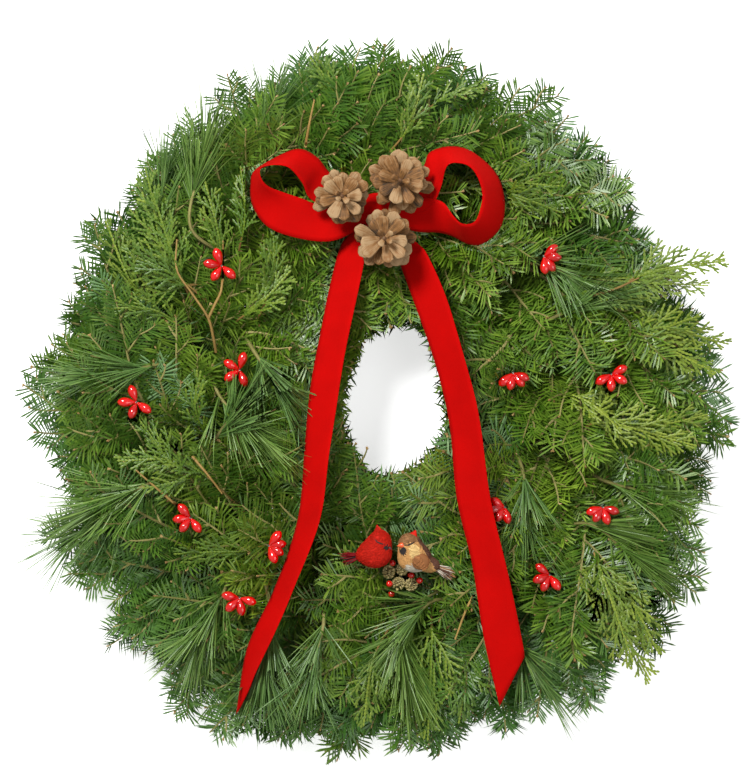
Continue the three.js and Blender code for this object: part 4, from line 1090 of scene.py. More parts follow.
def add_plate(form, path, side, normal, half, thick, cup=0.0, finish=0, tone=0.5, columns=5):
    """A thin curved plate, such as a cone scale or a feather, with soft edges along a path.

    side and normal are one direction for the whole plate, or one for each point of the path.
    """
    count = len(path)
    side, normal = (np.broadcast_to(np.asarray(way, float), (count, 3)) for way in (side, normal))
    half = np.broadcast_to(np.asarray(half, float), (count,))[:, None, None]
    thick = np.broadcast_to(np.asarray(thick, float), (count,))[:, None, None]
    place = np.linspace(-1, 1, columns)[None, :, None]
    middle = path[:, None] + side[:, None] * place * half + normal[:, None] * cup * half * place**2
    swell = normal[:, None] * thick * (1 - place**2) / 2
    top = middle + swell
    bottom = (middle - swell)[:, -2:0:-1]
    loop = np.concatenate([top, bottom], axis=1)
    width = loop.shape[1]
    along = np.concatenate([np.repeat(np.linspace(0, 1, count), width), [0, 1]])
    across = np.concatenate([place.ravel(), place.ravel()[-2:0:-1]]) / 2 + 0.5
    hue = np.concatenate([np.tile(across, count), [0.5, 0.5]])
    form.add(np.vstack([loop.reshape(-1, 3), path[0], path[-1]]),
             closed_faces(count, width, turned=True), finish, tone, along, hue)


def wire_to_ring(top, drop=26.0):
    """A wire's path from a piece down through the foliage to the ring below."""
    top = np.asarray(top, float)
    clock = math.degrees(math.atan2(top[0], top[1]))
    foot = on_clock(clock, RING_RADIUS, 2 * WIRE_RADIUS + 0.2)
    knee = top - UP * drop
    return smooth_path([top, knee, foot + (knee - foot) * 0.3 - UP * 6, foot], 20)


def pine_cone(where, radius, turn, rng):
    """An open cone seen from its tip: rows of rounded scales round a core painted dark as shade."""
    form = Form()
    foot = np.array([where[0], where[1], CONE_BASE_HEIGHT])
    heights = np.array([0, 7, 14, 21, 28.0])
    # The core takes the darker heart finish, painted shade deep in the cone
    add_tube(form, foot + UP * column(heights), [8, 8, 6, 4, 2], 12, 1, 0.2, up=ASIDE)
    for row, (count, reach, height, lean) in enumerate(CONE_ROWS):
        for i in range(count):
            angle = math.radians(turn + (i + 0.5 * (row % 2)) * 360 / count + rng.normal(0, 8))
            out = np.array([math.cos(angle), math.sin(angle), 0.0])
            across = np.array([-out[1], out[0], 0.0])
            tilt = math.radians(lean + rng.normal(0, 4))
            length = radius * reach * rng.uniform(0.84, 1.06)
            share = np.linspace(0, 1, 10)
            rise = np.sin(tilt) * length * share + 0.1 * length * share**2
            path = foot + UP * height + out * column(length * share * math.cos(tilt) ** 0.5)
            path = path + UP * column(rise) * 0.62
            tangent = unit(np.gradient(path, axis=0))
            normal = unit(np.cross(tangent, across))
            wide = rng.uniform(0.185, 0.25) * radius * (1 if reach > 0.5 else 0.5)
            bulge = 0.3 + 0.7 * np.clip(share / 0.72, 0, 1) ** 0.9
            close = np.sqrt(np.clip(1 - (np.clip(share - 0.84, 0, 1) / 0.165) ** 2, 0, 1))
            thick = 1.0 + 1.6 * np.clip((share - 0.3) / 0.5, 0, 1)
            add_plate(form, path, across, -normal, wide * bulge * close + 0.05,
                      thick * np.maximum(close, 0.3), -0.1, 0, rng.uniform(-0.1, 0.65), columns=9)
    start = foot + UP * 3
    add_wire(form, [start, start - UP * 5, start * 0.55 + KNOT * 0.45 - UP * 6, KNOT - UP * 4], 1.2, 2, 8)
    return form


def add_lathe(form, root, way, radii, length, columns=16, finish=0, tone=0.5):
    """A round body of varying radius along a direction."""
    way = unit(way)
    share = np.linspace(0, 1, len(radii))
    path = np.asarray(root, float) + way * column(length * share)
    add_tube(form, path, np.maximum(radii, 0.02), columns, finish, tone, up=across_from(way))


def berry_centre(x, y):
    """The knot of a berry cluster: lower the further it lies from the middle of the foliage."""
    return np.array([x, y, 92 - 0.12 * abs(math.hypot(x, y) - 200)])


def berry_cluster(x, y, turns, rng):
    """Four lacquered drops round a knot of wire, with a wire down to the ring."""
    form = Form()
    centre = berry_centre(x, y)
    add_oval(form, centre - UP * 1.2, (1.5, 1.5, 1.5), 10, 6, 1, 0.3)
    share = np.linspace(0, 1, 17)
    drop = np.sin(math.pi * share**1.42) ** 0.62
    for turn in turns:
        angle = math.radians(turn)
        way = unit([math.cos(angle), math.sin(angle), rng.uniform(0.02, 0.3)])
        size = rng.uniform(0.96, 1.06)
        add_lathe(form, centre + way * 0.2, way, BERRY_RADIUS * size * drop, BERRY_LENGTH * size, 16,
                  0, rng.uniform(0, 1))
        add_tube(form, [centre, centre + way * 3.2], 0.7, 6, 1)
    add_wire(form, wire_to_ring(centre), 0.8)
    return form


def spots(bird, *keys):
    """Where the named parts of a bird are."""
    return [np.array(bird[key], float) for key in keys]


def bird_skin(bird):
    """The bird's body and head as one smooth skin: its middle, its points and its faces.

    The skin lies where ovals for body, head, rump and neck blend into one another.
    """
    body, head, tail = spots(bird, "body", "head", "tail")
    rump = body + (tail - body) * bird["rump"]
    ovals = [(body, BODY_HALF), (head, HEAD_HALF), (rump, (8.5, 6.5, 6.5)),
             (body * 0.45 + head * 0.55 - UP * 0.5, (11.5, 11, 10.5))]
    middle = body * 0.6 + head * 0.4
    ways, _ = ways_out(SKIN_COLUMNS, SKIN_ROWS)
    near, far = np.zeros(len(ways)), np.full(len(ways), 60.0)
    for _ in range(22):
        reach = (near + far) / 2
        points = middle + ways * reach[:, None]
        depth = [(np.linalg.norm((points - c) / h, axis=1) - 1) * min(h) for c, h in ovals]
        outside = -np.log(sum(np.exp(-np.clip(d, -30, 60) / SKIN_BLEND) for d in depth)) * SKIN_BLEND > 0.8
        near, far = np.where(outside, near, reach), np.where(outside, reach, far)
    faces = closed_faces(SKIN_ROWS - 1, SKIN_COLUMNS, turned=True)
    return middle, middle + ways * near[:, None], faces


def add_bird(form, bird, finish_at, rng):
    """Smooth skin with short down over it, each tuft lying towards the tail. Returns the skin's points."""
    middle, skin, (quads, caps) = bird_skin(bird)
    centres = skin[quads].mean(axis=1)
    kinds = np.array([finish_at(p) for p in centres])
    blocks = [quads[kinds == kind] for kind in np.unique(kinds)]
    form.add(skin, blocks + [caps], [int(k) for k in np.unique(kinds)] + [finish_at(skin[-2])], 0.5)
    head, tail = spots(bird, "head", "tail")
    back = unit(tail - head)
    first, second = skin[quads[:, 1]] - skin[quads[:, 0]], skin[quads[:, 3]] - skin[quads[:, 0]]
    weight = np.linalg.norm(np.cross(first, second), axis=1)
    for k in rng.choice(len(quads), TUFTS, replace=False, p=weight / weight.sum()):
        out = unit(np.cross(first[k], second[k]))
        out = out if out @ (centres[k] - middle) > 0 else -out
        lie = back + rng.normal(0, 0.1, 3)
        lie = unit(lie - out * (lie @ out))
        length = rng.uniform(2.0, 3.2)
        share = np.linspace(0, 1, 4)
        path = centres[k] + lie * column(length * share) + out * column(0.05 + 0.28 * share)
        add_plate(form, path, np.cross(out, lie), out, [0.3, 0.5, 0.42, 0.06], 0.16, -0.1,
                  finish_at(centres[k]), rng.uniform(0.35, 0.65), columns=3)
    return skin


def add_long_feathers(form, root, tip, spread, count, width, finish, rng, pointed=False):
    """A fan of long narrow feathers, as in a tail, wing or crest."""
    root, tip = np.asarray(root, float), np.asarray(tip, float)
    way = unit(tip - root)
    across = unit(np.cross(way, UP))
    length = np.linalg.norm(tip - root)
    for i in range(count):
        part = (i / max(count - 1, 1) - 0.5) * 2
        out = unit(way + across * part * spread)
        side = unit(np.cross(out, UP))
        normal = np.cross(side, out)
        share = np.linspace(0, 1, 9)
        size = length * (1 - 0.12 * part**2) * rng.uniform(0.95, 1.0)
        path = root + across * part * width * 0.35 + out * column(size * share)
        path = path + normal * (0.45 * (1 - abs(part)) + 0.1 * i)
        half = width / 2 * (0.5 + 0.5 * np.clip(share / 0.3, 0, 1))
        if pointed:
            half = half * np.clip(1.05 - share, 0.04, 1) ** 0.8
        else:
            half = half * np.sqrt(np.clip(1 - (np.clip(share - 0.8, 0, 1) / 0.205) ** 2, 0.01, 1))
        add_plate(form, path, side, normal, half, 0.45, -0.2, finish, rng.uniform(0.1, 1.0))


def bird_bill(bird, radius):
    """A short stout bill that points away from the middle of the head."""
    form = Form()
    head, beak = spots(bird, "head", "beak")
    way = unit((beak - head) * [1, 1, 0.4])
    radii = radius * np.array([0.75, 1.0, 0.92, 0.75, 0.5, 0.22, 0.03])
    add_lathe(form, beak - way * 4.0, way, radii, 7.6, 12)
    return form


def add_eye(form, centre, radius):
    """A small shiny eye."""
    add_oval(form, centre, (radius, radius, radius * 0.8), 14, 8, EYE, 0.9)


def small_cone(form, centre, rng):
    """A little cone: rows of small overlapping scales round an oval."""
    centre = np.asarray(centre, float)
    axis = unit([rng.normal(0, 0.5), rng.choice([-1, 1]) * rng.uniform(0.5, 0.9), 0.75])
    first = unit(np.cross(axis, [1, 0, 0]))
    second = np.cross(axis, first)
    half = (SMALL_CONE_RADIUS * 0.8, SMALL_CONE_RADIUS * 0.8, SMALL_CONE_HALF * 0.86)
    add_oval(form, centre, half, 10, 8, 0, 0.1, axis)
    for row in range(7):
        height = -0.72 + row * 0.26
        reach = math.sqrt(max(0.05, 1 - height**2))
        count = max(3, int(round(8 * reach)))
        for i in range(count):
            angle = (i + 0.5 * (row % 2)) * 2 * math.pi / count
            out = first * math.cos(angle) + second * math.sin(angle)
            foot = centre + axis * height * SMALL_CONE_HALF * 0.8 + out * SMALL_CONE_RADIUS * 0.62 * reach
            way = unit(out * (0.55 + 0.4 * reach) + axis * (0.75 + height * 0.2))
            share = np.linspace(0, 1, 5)
            path = foot + way * column(3.3 * share)
            across = unit(np.cross(axis, out))
            half = 1.75 * np.sqrt(np.clip(1 - (share - 0.45) ** 2 / 0.32, 0.02, 1))
            add_plate(form, path, across, np.cross(across, way), half, 0.7, 0.2, 0,
                      rng.uniform(0.3, 1.0))


def small_cone_pick(rng):
    """Four little cones, whose wires meet and run to the ring."""
    form = Form()
    for centre in SMALL_CONES:
        small_cone(form, centre, rng)
        top = np.array(centre, float) - UP * 5
        middle = top * 0.5 + CONE_PICK_FOOT * 0.5 - UP * 2
        add_wire(form, smooth_path([top, middle, CONE_PICK_FOOT], 8), 0.8)
    add_wire(form, wire_to_ring(CONE_PICK_FOOT, 16), 1.0)
    return form


def round_berry_pick(rng):
    """Round berries, whose wires meet and run to the ring."""
    form = Form()
    for centre in ROUND_BERRIES:
        centre = np.array(centre, float)
        add_oval(form, centre, (ROUND_BERRY_RADIUS,) * 3, 20, 12, 0, rng.uniform(0, 1),
                 unit(rng.normal(0, 0.4, 3) + UP))
        low = centre - UP * 14
        corners = [centre - UP * 2, low, low * 0.5 + BERRY_PICK_FOOT * 0.5, BERRY_PICK_FOOT]
        add_wire(form, smooth_path(corners, 10), 0.6)
    add_wire(form, wire_to_ring(BERRY_PICK_FOOT, 16), 1.0)
    return form


def foliage_ceiling():
    """The height that the foliage keeps below: lower where something lies on it."""
    ceiling = Ceiling(FOLIAGE_TOP)
    for stations in RIBBONS:
        across, _ = ribbon_rows(stations)
        ceiling.press(across, 4, 6)
    for (x, y), radius, _ in PINE_CONES.values():
        ring = [(x + radius * r * math.cos(t), y + radius * r * math.sin(t), CONE_BASE_HEIGHT)
                for r in (0.2, 0.6, 0.9) for t in np.arange(12) * math.pi / 6]
        ceiling.press(ring, 5, 4)
    ceiling.press([KNOT], 18, 12)
    for x, y, turns in BERRY_CLUSTERS:
        for angle in np.radians(turns):
            way = np.array([math.cos(angle), math.sin(angle), 0])
            ceiling.press([berry_centre(x, y) + reach * way for reach in (2, 6, 10, 14)], 5, 5)
    for bird in (RED_BIRD, TAN_BIRD):
        body, tail = spots(bird, "body", "tail")
        ceiling.press([body], 17, 13)
        ceiling.press([bird["head"]], 11, 12)
        ceiling.press([body + (tail - body) * k for k in (0.4, 0.6, 0.8, 1.0)], 6, 5)
    ceiling.press(SMALL_CONES, 7, 9)
    ceiling.press(ROUND_BERRIES, 4, 6)
    return ceiling


# ---- materials ----


def linear(red, green, blue):
    """A colour given from 0 to 255, as on a screen, in the values that shaders use."""
    shares = [value / 255 for value in (red, green, blue)]
    return tuple(s / 12.92 if s <= 0.04045 else ((s + 0.055) / 1.055) ** 2.4 for s in shares)


def full(colour):
    """The colour with the fourth value that colour sockets hold."""
    return (*tuple(colour)[:3], 1.0)


def place(tree, kind, inputs=None, **settings):
    """Adds a node with its settings; each input is a value, or another node's output to join."""
    node = tree.nodes.new(kind)
    for key, value in settings.items():
        setattr(node, key, value)
    for key, value in (inputs or {}).items():
        socket = node.inputs[key]
        if isinstance(value, bpy.types.NodeSocket):
            tree.links.new(value, socket)
        elif socket.type == "RGBA":
            socket.default_value = full(value)
        else:
            socket.default_value = value
    return node


def new_group(name, inputs, outputs):
    """An empty node group with named sockets, what it is given, and what it gives."""
    tree = bpy.data.node_groups.new(name, "ShaderNodeTree")
    for side, sockets in (("INPUT", inputs), ("OUTPUT", outputs)):
        for label, kind, *value in sockets:
            socket = tree.interface.new_socket(label, in_out=side, socket_type=f"NodeSocket{kind}")
            if value:
                socket.default_value = full(value[0]) if kind == "Color" else value[0]
    ends = [tree.nodes.new(kind) for kind in ("NodeGroupInput", "NodeGroupOutput")]
    return tree, ends[0].outputs, ends[1].inputs


def mix_colour(tree, share, first, second):
    """The output of a node that mixes two colours by a share."""
    return place(tree, "ShaderNodeMix", {0: share, 6: first, 7: second}, data_type="RGBA").outputs[2]


def reckon(tree, operation, *values, clamp=False):
    """The output of a node that works a number out from others."""
    node = place(tree, "ShaderNodeMath", dict(enumerate(values)), operation=operation, use_clamp=clamp)
    return node.outputs[0]


def spread_out(tree, value, low, high, to_low=0.0, to_high=1.0):
    """The output of a node that carries a value from one range over to another."""
    return place(tree, "ShaderNodeMapRange", {"Value": value, "From Min": low, "From Max": high,
                                              "To Min": to_low, "To Max": to_high}).outputs[0]


def growth_tones_group():
    """Colour that follows each leaf's own tone, hue and place along it, with patches over several, and
    painted shade that darkens the low foliage inside the rim.
    """
    grey = (0.5, 0.5, 0.5)
    tree, given, out = new_group(
        "Growth Tones",
        [("Shade", "Color", (0, 0, 0)), ("Middle", "Color", grey), ("Light", "Color", (1, 1, 1)),
         ("Cool", "Color", grey), ("Cool Share", "Float", 0.5), ("Patch Scale", "Float", 60.0),
         ("Patch Share", "Float", 0.3), ("Tip Lift", "Float", 0.1), ("Streak Share", "Float", 0.0),
         ("Streak Count", "Float", 9.0), ("Depth Shade", "Float", 0.0)],
        [("Color", "Color")])
    growth = place(tree, "ShaderNodeAttribute", attribute_name="growth")
    parts = place(tree, "ShaderNodeSeparateXYZ", {"Vector": growth.outputs["Vector"]})
    tone_of_leaf, along, hue = parts.outputs
    where = place(tree, "ShaderNodeTexCoord").outputs["Object"]
    patches = place(tree, "ShaderNodeTexNoise",
                    {"Vector": where, "Scale": given["Patch Scale"], "Detail": 3.0})
    centred = reckon(tree, "SUBTRACT", patches.outputs["Fac"], 0.5)
    patch = reckon(tree, "MULTIPLY", centred, given["Patch Share"])
    lifted = reckon(tree, "MULTIPLY_ADD", along, given["Tip Lift"], tone_of_leaf)
    lengthwise = place(tree, "ShaderNodeCombineXYZ", {
        "X": reckon(tree, "MULTIPLY", hue, given["Streak Count"]), "Y": along,
        "Z": reckon(tree, "MULTIPLY", tone_of_leaf, 57.0)})
    streaks = place(tree, "ShaderNodeTexNoise",
                    {"Vector": lengthwise.outputs[0], "Scale": 1.6, "Detail": 2.0})
    streak = reckon(tree, "SUBTRACT", streaks.outputs["Fac"], 0.5)
    streaked = reckon(tree, "MULTIPLY_ADD", streak, given["Streak Share"], patch)
    tone = reckon(tree, "ADD", lifted, streaked, clamp=True)
    lower = mix_colour(tree, spread_out(tree, tone, 0.0, 0.5), given["Shade"], given["Middle"])
    whole = mix_colour(tree, spread_out(tree, tone, 0.5, 1.0), lower, given["Light"])
    cool = reckon(tree, "MULTIPLY", hue, given["Cool Share"], clamp=True)
    cooled = mix_colour(tree, cool, whole, given["Cool"])
    # Painted shade: low foliage inside the rim is mixed towards near black, less so higher up and out at
    # the rim
    height = place(tree, "ShaderNodeSeparateXYZ", {"Vector": where}).outputs["Z"]
    outward = place(tree, "ShaderNodeVectorMath", {0: where}, operation="LENGTH").outputs["Value"]
    deep = reckon(tree, "MULTIPLY", spread_out(tree, height, DEEP * MM, OPEN * MM, 1.0, 0.0),
                  spread_out(tree, outward, RIM_IN * MM, RIM_OUT * MM, 1.0, 0.12))
    shade = reckon(tree, "MULTIPLY", deep, given["Depth Shade"], clamp=True)
    tree.links.new(mix_colour(tree, shade, cooled, (0.004, 0.008, 0.002)), out["Color"])
    return tree


def fine_grain_group():
    """Small grain for bumps and roughness, as fine and as stretched as the finish needs."""
    tree, given, out = new_group(
        "Fine Grain",
        [("Scale", "Float", 900.0), ("Stretch", "Vector", (1.0, 1.0, 1.0)),
         ("Low", "Float", 0.0), ("High", "Float", 1.0)],
        [("Height", "Float"), ("Value", "Float")])
    where = place(tree, "ShaderNodeTexCoord").outputs["Object"]
    drawn = place(tree, "ShaderNodeVectorMath", {0: where, 1: given["Stretch"]}, operation="MULTIPLY")
    noise = place(tree, "ShaderNodeTexNoise",
                  {"Vector": drawn.outputs[0], "Scale": given["Scale"], "Detail": 4.0})
    height = noise.outputs["Fac"]
    tree.links.new(height, out["Height"])
    tree.links.new(spread_out(tree, height, 0.25, 0.75, given["Low"], given["High"]), out["Value"])
    return tree


def effect(name):
    """A node group that several materials share, built the first time it is asked for."""
    makers = {"Growth Tones": growth_tones_group, "Fine Grain": fine_grain_group}
    return bpy.data.node_groups.get(name) or makers[name]()


def new_material(name, **sockets):
    """A material with its shader's plain sockets set, its node tree and its shader."""
    material = bpy.data.materials.new(name)
    material.use_nodes = True
    shader = material.node_tree.nodes["Principled BSDF"]
    for key, value in sockets.items():
        socket = shader.inputs[key.replace("_", " ")]
        socket.default_value = full(value) if socket.type == "RGBA" else value
    return material, material.node_tree, shader


def fine_grain(tree, scale, low, high, stretch=(1.0, 1.0, 1.0)):
    """The outputs of the shared grain, for one scale and range."""
    return place(tree, "ShaderNodeGroup", {"Scale": scale, "Stretch": stretch, "Low": low, "High": high},
                 node_tree=effect("Fine Grain")).outputs


def dress(tree, shader, colour, grain, bump, depth):
    """Joins a colour, and a grain for gloss and surface, to the shader."""
    raised = place(tree, "ShaderNodeBump", {"Height": grain["Height"], "Strength": bump, "Distance": depth})
    for key, value in (("Base Color", colour), ("Roughness", grain["Value"]),
                       ("Normal", raised.outputs["Normal"])):
        tree.links.new(value, shader.inputs[key])


def grown_material(name, shade, middle, light, cool, cool_share=0.0, patch_scale=60.0, patch_share=0.3,
                   tip_lift=0.1, grain=900.0, rough=(0.45, 0.65), bump=0.15, depth=0.0002, streaks=0.0,
                   deep=0.0, **sockets):
    """A material whose colour follows each piece's growth, with painted shade on its low parts where deep
    is given, and grain in its gloss and surface.
    """
    material, tree, shader = new_material(name, **sockets)
    tones = place(tree, "ShaderNodeGroup", {
        "Shade": shade, "Middle": middle, "Light": light, "Cool": cool, "Cool Share": cool_share,
        "Patch Scale": patch_scale, "Patch Share": patch_share, "Tip Lift": tip_lift,
        "Streak Share": streaks, "Depth Shade": deep}, node_tree=effect("Growth Tones"))
    dress(tree, shader, tones.outputs["Color"], fine_grain(tree, grain, *rough), bump, depth)
    return material


def shaded(colour, factor):
    """The colour made darker or paler by a factor."""
    return tuple(min(1.0, value * factor) for value in tuple(colour)[:3])


def blended(first, second, share):
    """A colour between two others."""
    return tuple(a * (1 - share) + b * share for a, b in zip(tuple(first)[:3], tuple(second)[:3]))


# ---- what a user may change ----


def length_property(name, description, default, low, high):
    """A length a user may change, in metres."""
    return FloatProperty(name=name, description=description, default=default, min=low, max=high,
                         unit="LENGTH", precision=4)


def colour_property(name, description, default):
    """A colour a user may change."""
    return FloatVectorProperty(name=name, description=description, default=default, subtype="COLOR",
                               size=3, min=0.0, max=1.0)


class WreathFoliage(PropertyGroup):
    """Sizes and colours of the evergreen foliage."""

    fir_needle_length: length_property(
        "Fir Needle Length", "Length of one fir needle", 0.0225, 0.01, 0.03)
    fir_needle_width: length_property(
        "Fir Needle Width", "Width of one fir needle", 0.0019, 0.001, 0.003)
    fir_needle_spacing: length_property(
        "Fir Needle Spacing", "Distance between needles along each side of a twig", 0.0031, 0.0015, 0.006)
    pine_needle_length: length_property(
        "Pine Needle Length", "Length of one pine needle", 0.078, 0.03, 0.1)
    pine_needle_width: length_property(
        "Pine Needle Width", "Thickness of one pine needle", 0.001, 0.0006, 0.002)
    pine_bundles: IntProperty(name="Pine Bundles", description="Bundles of five needles on each pine tuft",
                              default=30, min=8, max=60)
    fir_colour: colour_property("Fir Colour", "Upper side of the fir needles", linear(71, 106, 12))
    fir_silver: colour_property("Fir Silver", "Underside of the fir needles", linear(88, 128, 68))
    pine_colour: colour_property("Pine Colour", "The long pine needles", linear(84, 118, 36))
    cedar_colour: colour_property("Cedar Colour", "The flat cedar sprays", linear(80, 110, 16))
    bark_colour: colour_property("Bark Colour", "Bark of the fir twigs", linear(116, 114, 52))


class WreathBow(PropertyGroup):
    """Thickness and colour of the velvet bow."""

    thickness: length_property(
        "Ribbon Thickness", "Thickness of the velvet ribbon", 0.0012, 0.0005, 0.003)
    colour: colour_property("Velvet Colour", "The red of the ribbon", linear(198, 2, 0))


class WreathTrim(PropertyGroup):
    """Colours of the cones, berries, birds and wires."""

    berry_colour: colour_property("Berry Colour", "Lacquer of the berries", linear(208, 2, 2))
    cone_colour: colour_property("Cone Colour", "Tan of the cone scales", linear(142, 98, 42))
    small_cone_colour: colour_property("Small Cone Colour", "The little greenish cones",
                                       linear(200, 186, 118))
    wire_colour: colour_property("Ring Colour", "Paint of the ring and its clamps", linear(40, 66, 44))
    red_feather: colour_property("Red Feather", "Feathers of the red bird", linear(192, 30, 14))
    tan_feather: colour_property("Tan Feather", "Feathers of the tan bird", linear(206, 156, 96))
    brown_feather: colour_property("Brown Feather", "Wing of the tan bird", linear(150, 98, 58))


class WreathStage(PropertyGroup):
    """Camera and light."""

    lens: FloatProperty(name="Lens", description="Focal length of the camera, in millimetres",
                        default=135.0, min=35.0, max=300.0)
    key_strength: FloatProperty(name="Key Light", description="Power of the large soft light",
                                default=88.0, min=0.0, max=500.0, subtype="POWER", unit="POWER")
    fill_strength: FloatProperty(name="Fill Light", description="Strength of the even white light",
                                 default=0.42, min=0.0, max=3.0)
    floor_glow: FloatProperty(name="Floor Glow", description="How far the floor is lit from behind",
                              default=0.62, min=0.0, max=1.0)
    floor_colour: colour_property("Floor Colour", "The plain pale floor", (0.92, 0.92, 0.92))


# ---- operators ----


def finish_piece(form, name, finishes, nodes=(), settle=None):
    """Builds a piece with its finishes, rides it on the wreath, and hides the solids it stands for."""
    piece = form.build(name, finishes, settle)
    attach(piece, BODY)
    if nodes:
        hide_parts(*nodes)
    return piece


def needle_materials(settings):
    """The tops of the fir needles, and their paler undersides."""
    green = settings.fir_colour
    # Both finishes carry painted shade on the low needles, as strong as deep says
    top = grown_material("Fir Needle Top", shaded(green, 0.3), green, linear(136, 164, 50),
                         linear(58, 102, 40), 0.75, 45.0, 0.4, 0.16, 700.0, (0.3, 0.45), streaks=0.5,
                         deep=0.76, Specular_IOR_Level=0.5)
    under = grown_material("Fir Needle Underside", shaded(green, 0.8), settings.fir_silver,
                           linear(138, 168, 116), linear(92, 130, 76), 0.6, 45.0, 0.3, 0.05, 700.0,
                           (0.5, 0.65), deep=0.72)
    return [top, under]


def twig_materials(settings):
    """The bark and the buds of fir and pine."""
    # The bark carries painted shade low down, as strong as deep says
    bark = grown_material("Fir Bark", linear(72, 62, 30), settings.bark_colour, linear(160, 150, 92),
                          linear(132, 126, 78), 0.2, 120.0, 0.6, 0.1, 1400.0, (0.7, 0.9), 0.5, 0.0004,
                          deep=0.8)
    bud = grown_material("Fir Bud", linear(98, 70, 34), linear(148, 116, 62), linear(186, 160, 104),
                         linear(160, 130, 80), 0.2, 200.0, 0.5, 0.2, 1800.0, (0.5, 0.7), 0.5, 0.0003)
    return [bark, bud]


class WREATH_OT_add_ring(Operator):
    """Adds the painted wire ring with its clamp prongs"""

    bl_idname = "wreath.add_ring"
    bl_label = "Add Ring"

    def execute(self, context):
        colour = context.scene.wreath_trim.wire_colour
        paint = grown_material("Painted Wire", shaded(colour, 0.5), colour, shaded(colour, 1.6), colour,
                               0.0, 90.0, 0.7, 0.0, 1200.0, (0.3, 0.55), 0.3, Coat_Weight=0.2)
        finish_piece(wire_ring(), "ring_with_prongs", [paint], ["wire_ring"])
        return {"FINISHED"}


def velvet_material(colour):
    """Dense short pile: fine grain, soft streaks where it is brushed, and a pale sheen."""
    material, tree, shader = new_material(
        "Red Velvet", Sheen_Weight=0.12, Sheen_Roughness=0.4, Sheen_Tint=linear(255, 60, 40),
        Specular_IOR_Level=0.08, Roughness=0.85)
    brushed = fine_grain(tree, 34.0, 0.0, 1.0, (1.0, 1.0, 0.4))
    pile = fine_grain(tree, 2600.0, 0.78, 0.95)
    shade = mix_colour(tree, brushed["Value"], shaded(colour, 0.8), colour)
    dress(tree, shader, mix_colour(tree, pile["Value"], shaded(colour, 0.7), shade), pile, 0.4, 0.0003)
    return material


class WREATH_OT_add_bow(Operator):
    """Adds the velvet bow, its gathered middle and its wire"""

    bl_idname = "wreath.add_bow"
    bl_label = "Add Bow"

    def execute(self, context):
        settings = context.scene.wreath_bow
        velvet = velvet_material(settings.colour)
        gather = finish_piece(bow_gather(), "bow_gather", [velvet])
        form = Form()
        for stations in RIBBONS:
            add_ribbon(form, stations, settings.thickness / MM)
        ribbon = finish_piece(form, "velvet_ribbon", [velvet], ["bow_ribbon"])
        length = sum(ribbon_length(stations) for stations in RIBBONS) * MM
        finish_piece(bow_wire(), "bow_tie_wire", [bare_wire_material()], ["bow_wire"])
        return {"FINISHED"}


def bare_wire_material():
    """Plain drawn wire, a little dulled."""
    return bpy.data.materials.get("Bare Wire") or grown_material(
        "Bare Wire", linear(96, 94, 88), linear(160, 158, 150), linear(206, 204, 196),
        linear(160, 158, 150), 0.0, 200.0, 0.5, 0.0, 1600.0, (0.25, 0.5), 0.3, Metallic=1.0)


def wood_material(name, colour, patch=160.0, grain=1100.0):
    """Woody scales: pale edges, brown in patches, streaked lengthwise."""
    return grown_material(name, shaded(colour, 0.12), blended(shaded(colour, 0.8), (0.3, 0.1, 0.02), 0.2),
                          blended(colour, (0.9, 0.76, 0.5), 0.2), shaded(colour, 0.6), 0.0, patch, 1.0,
                          0.42, grain, (0.55, 0.8), 0.8, 0.0006, streaks=1.3)


class WREATH_OT_add_cones(Operator):
    """Adds the three open pine cones round the knot of the bow"""

    bl_idname = "wreath.add_cones"
    bl_label = "Add Pine Cones"

    def execute(self, context):
        colour = context.scene.wreath_trim.cone_colour
        # The heart is a darker copy of the scale finish, painted shade in the cone's middle
        finishes = [wood_material("Cone Scale", colour), wood_material("Cone Heart", shaded(colour, 0.35)),
                    bare_wire_material()]
        for name, (where, radius, turn) in PINE_CONES.items():
            form = pine_cone(where, radius, turn, np.random.default_rng(CONE_SEED + turn))
            finish_piece(form, f"open_cone_{name}", finishes, [f"pine_cone_{name}"])
        return {"FINISHED"}


def lacquer_material(colour):
    """Glossy red lacquer, a little deeper in places."""
    return bpy.data.materials.get("Berry Lacquer") or grown_material(
        "Berry Lacquer", shaded(colour, 0.75), colour, shaded(colour, 1.15), shaded(colour, 0.6), 0.0,
        140.0, 0.5, 0.0, 500.0, (0.12, 0.22), 0.04, Coat_Weight=1.0, Coat_Roughness=0.04)


class WREATH_OT_add_berries(Operator):
    """Adds the clusters of lacquered berries"""

    bl_idname = "wreath.add_berries"
    bl_label = "Add Berry Clusters"

    def execute(self, context):
        finishes = [lacquer_material(context.scene.wreath_trim.berry_colour), bare_wire_material()]
        for i, (x, y, turns) in enumerate(BERRY_CLUSTERS, start=1):
            form = berry_cluster(x, y, turns, np.random.default_rng(BERRY_SEED + i))
            finish_piece(form, f"berry_drops_{i:02d}", finishes, [f"berry_cluster_{i:02d}"])
        return {"FINISHED"}


def feather_material(name, colour):
    """Dull down with fine barbs."""
    return grown_material(name, shaded(colour, 0.55), colour, shaded(colour, 1.25),
                          shaded(colour, 0.7), 0.0, 240.0, 0.4, 0.1, 2200.0, (0.6, 0.8), 0.5, 0.0003,
                          Specular_IOR_Level=0.15)


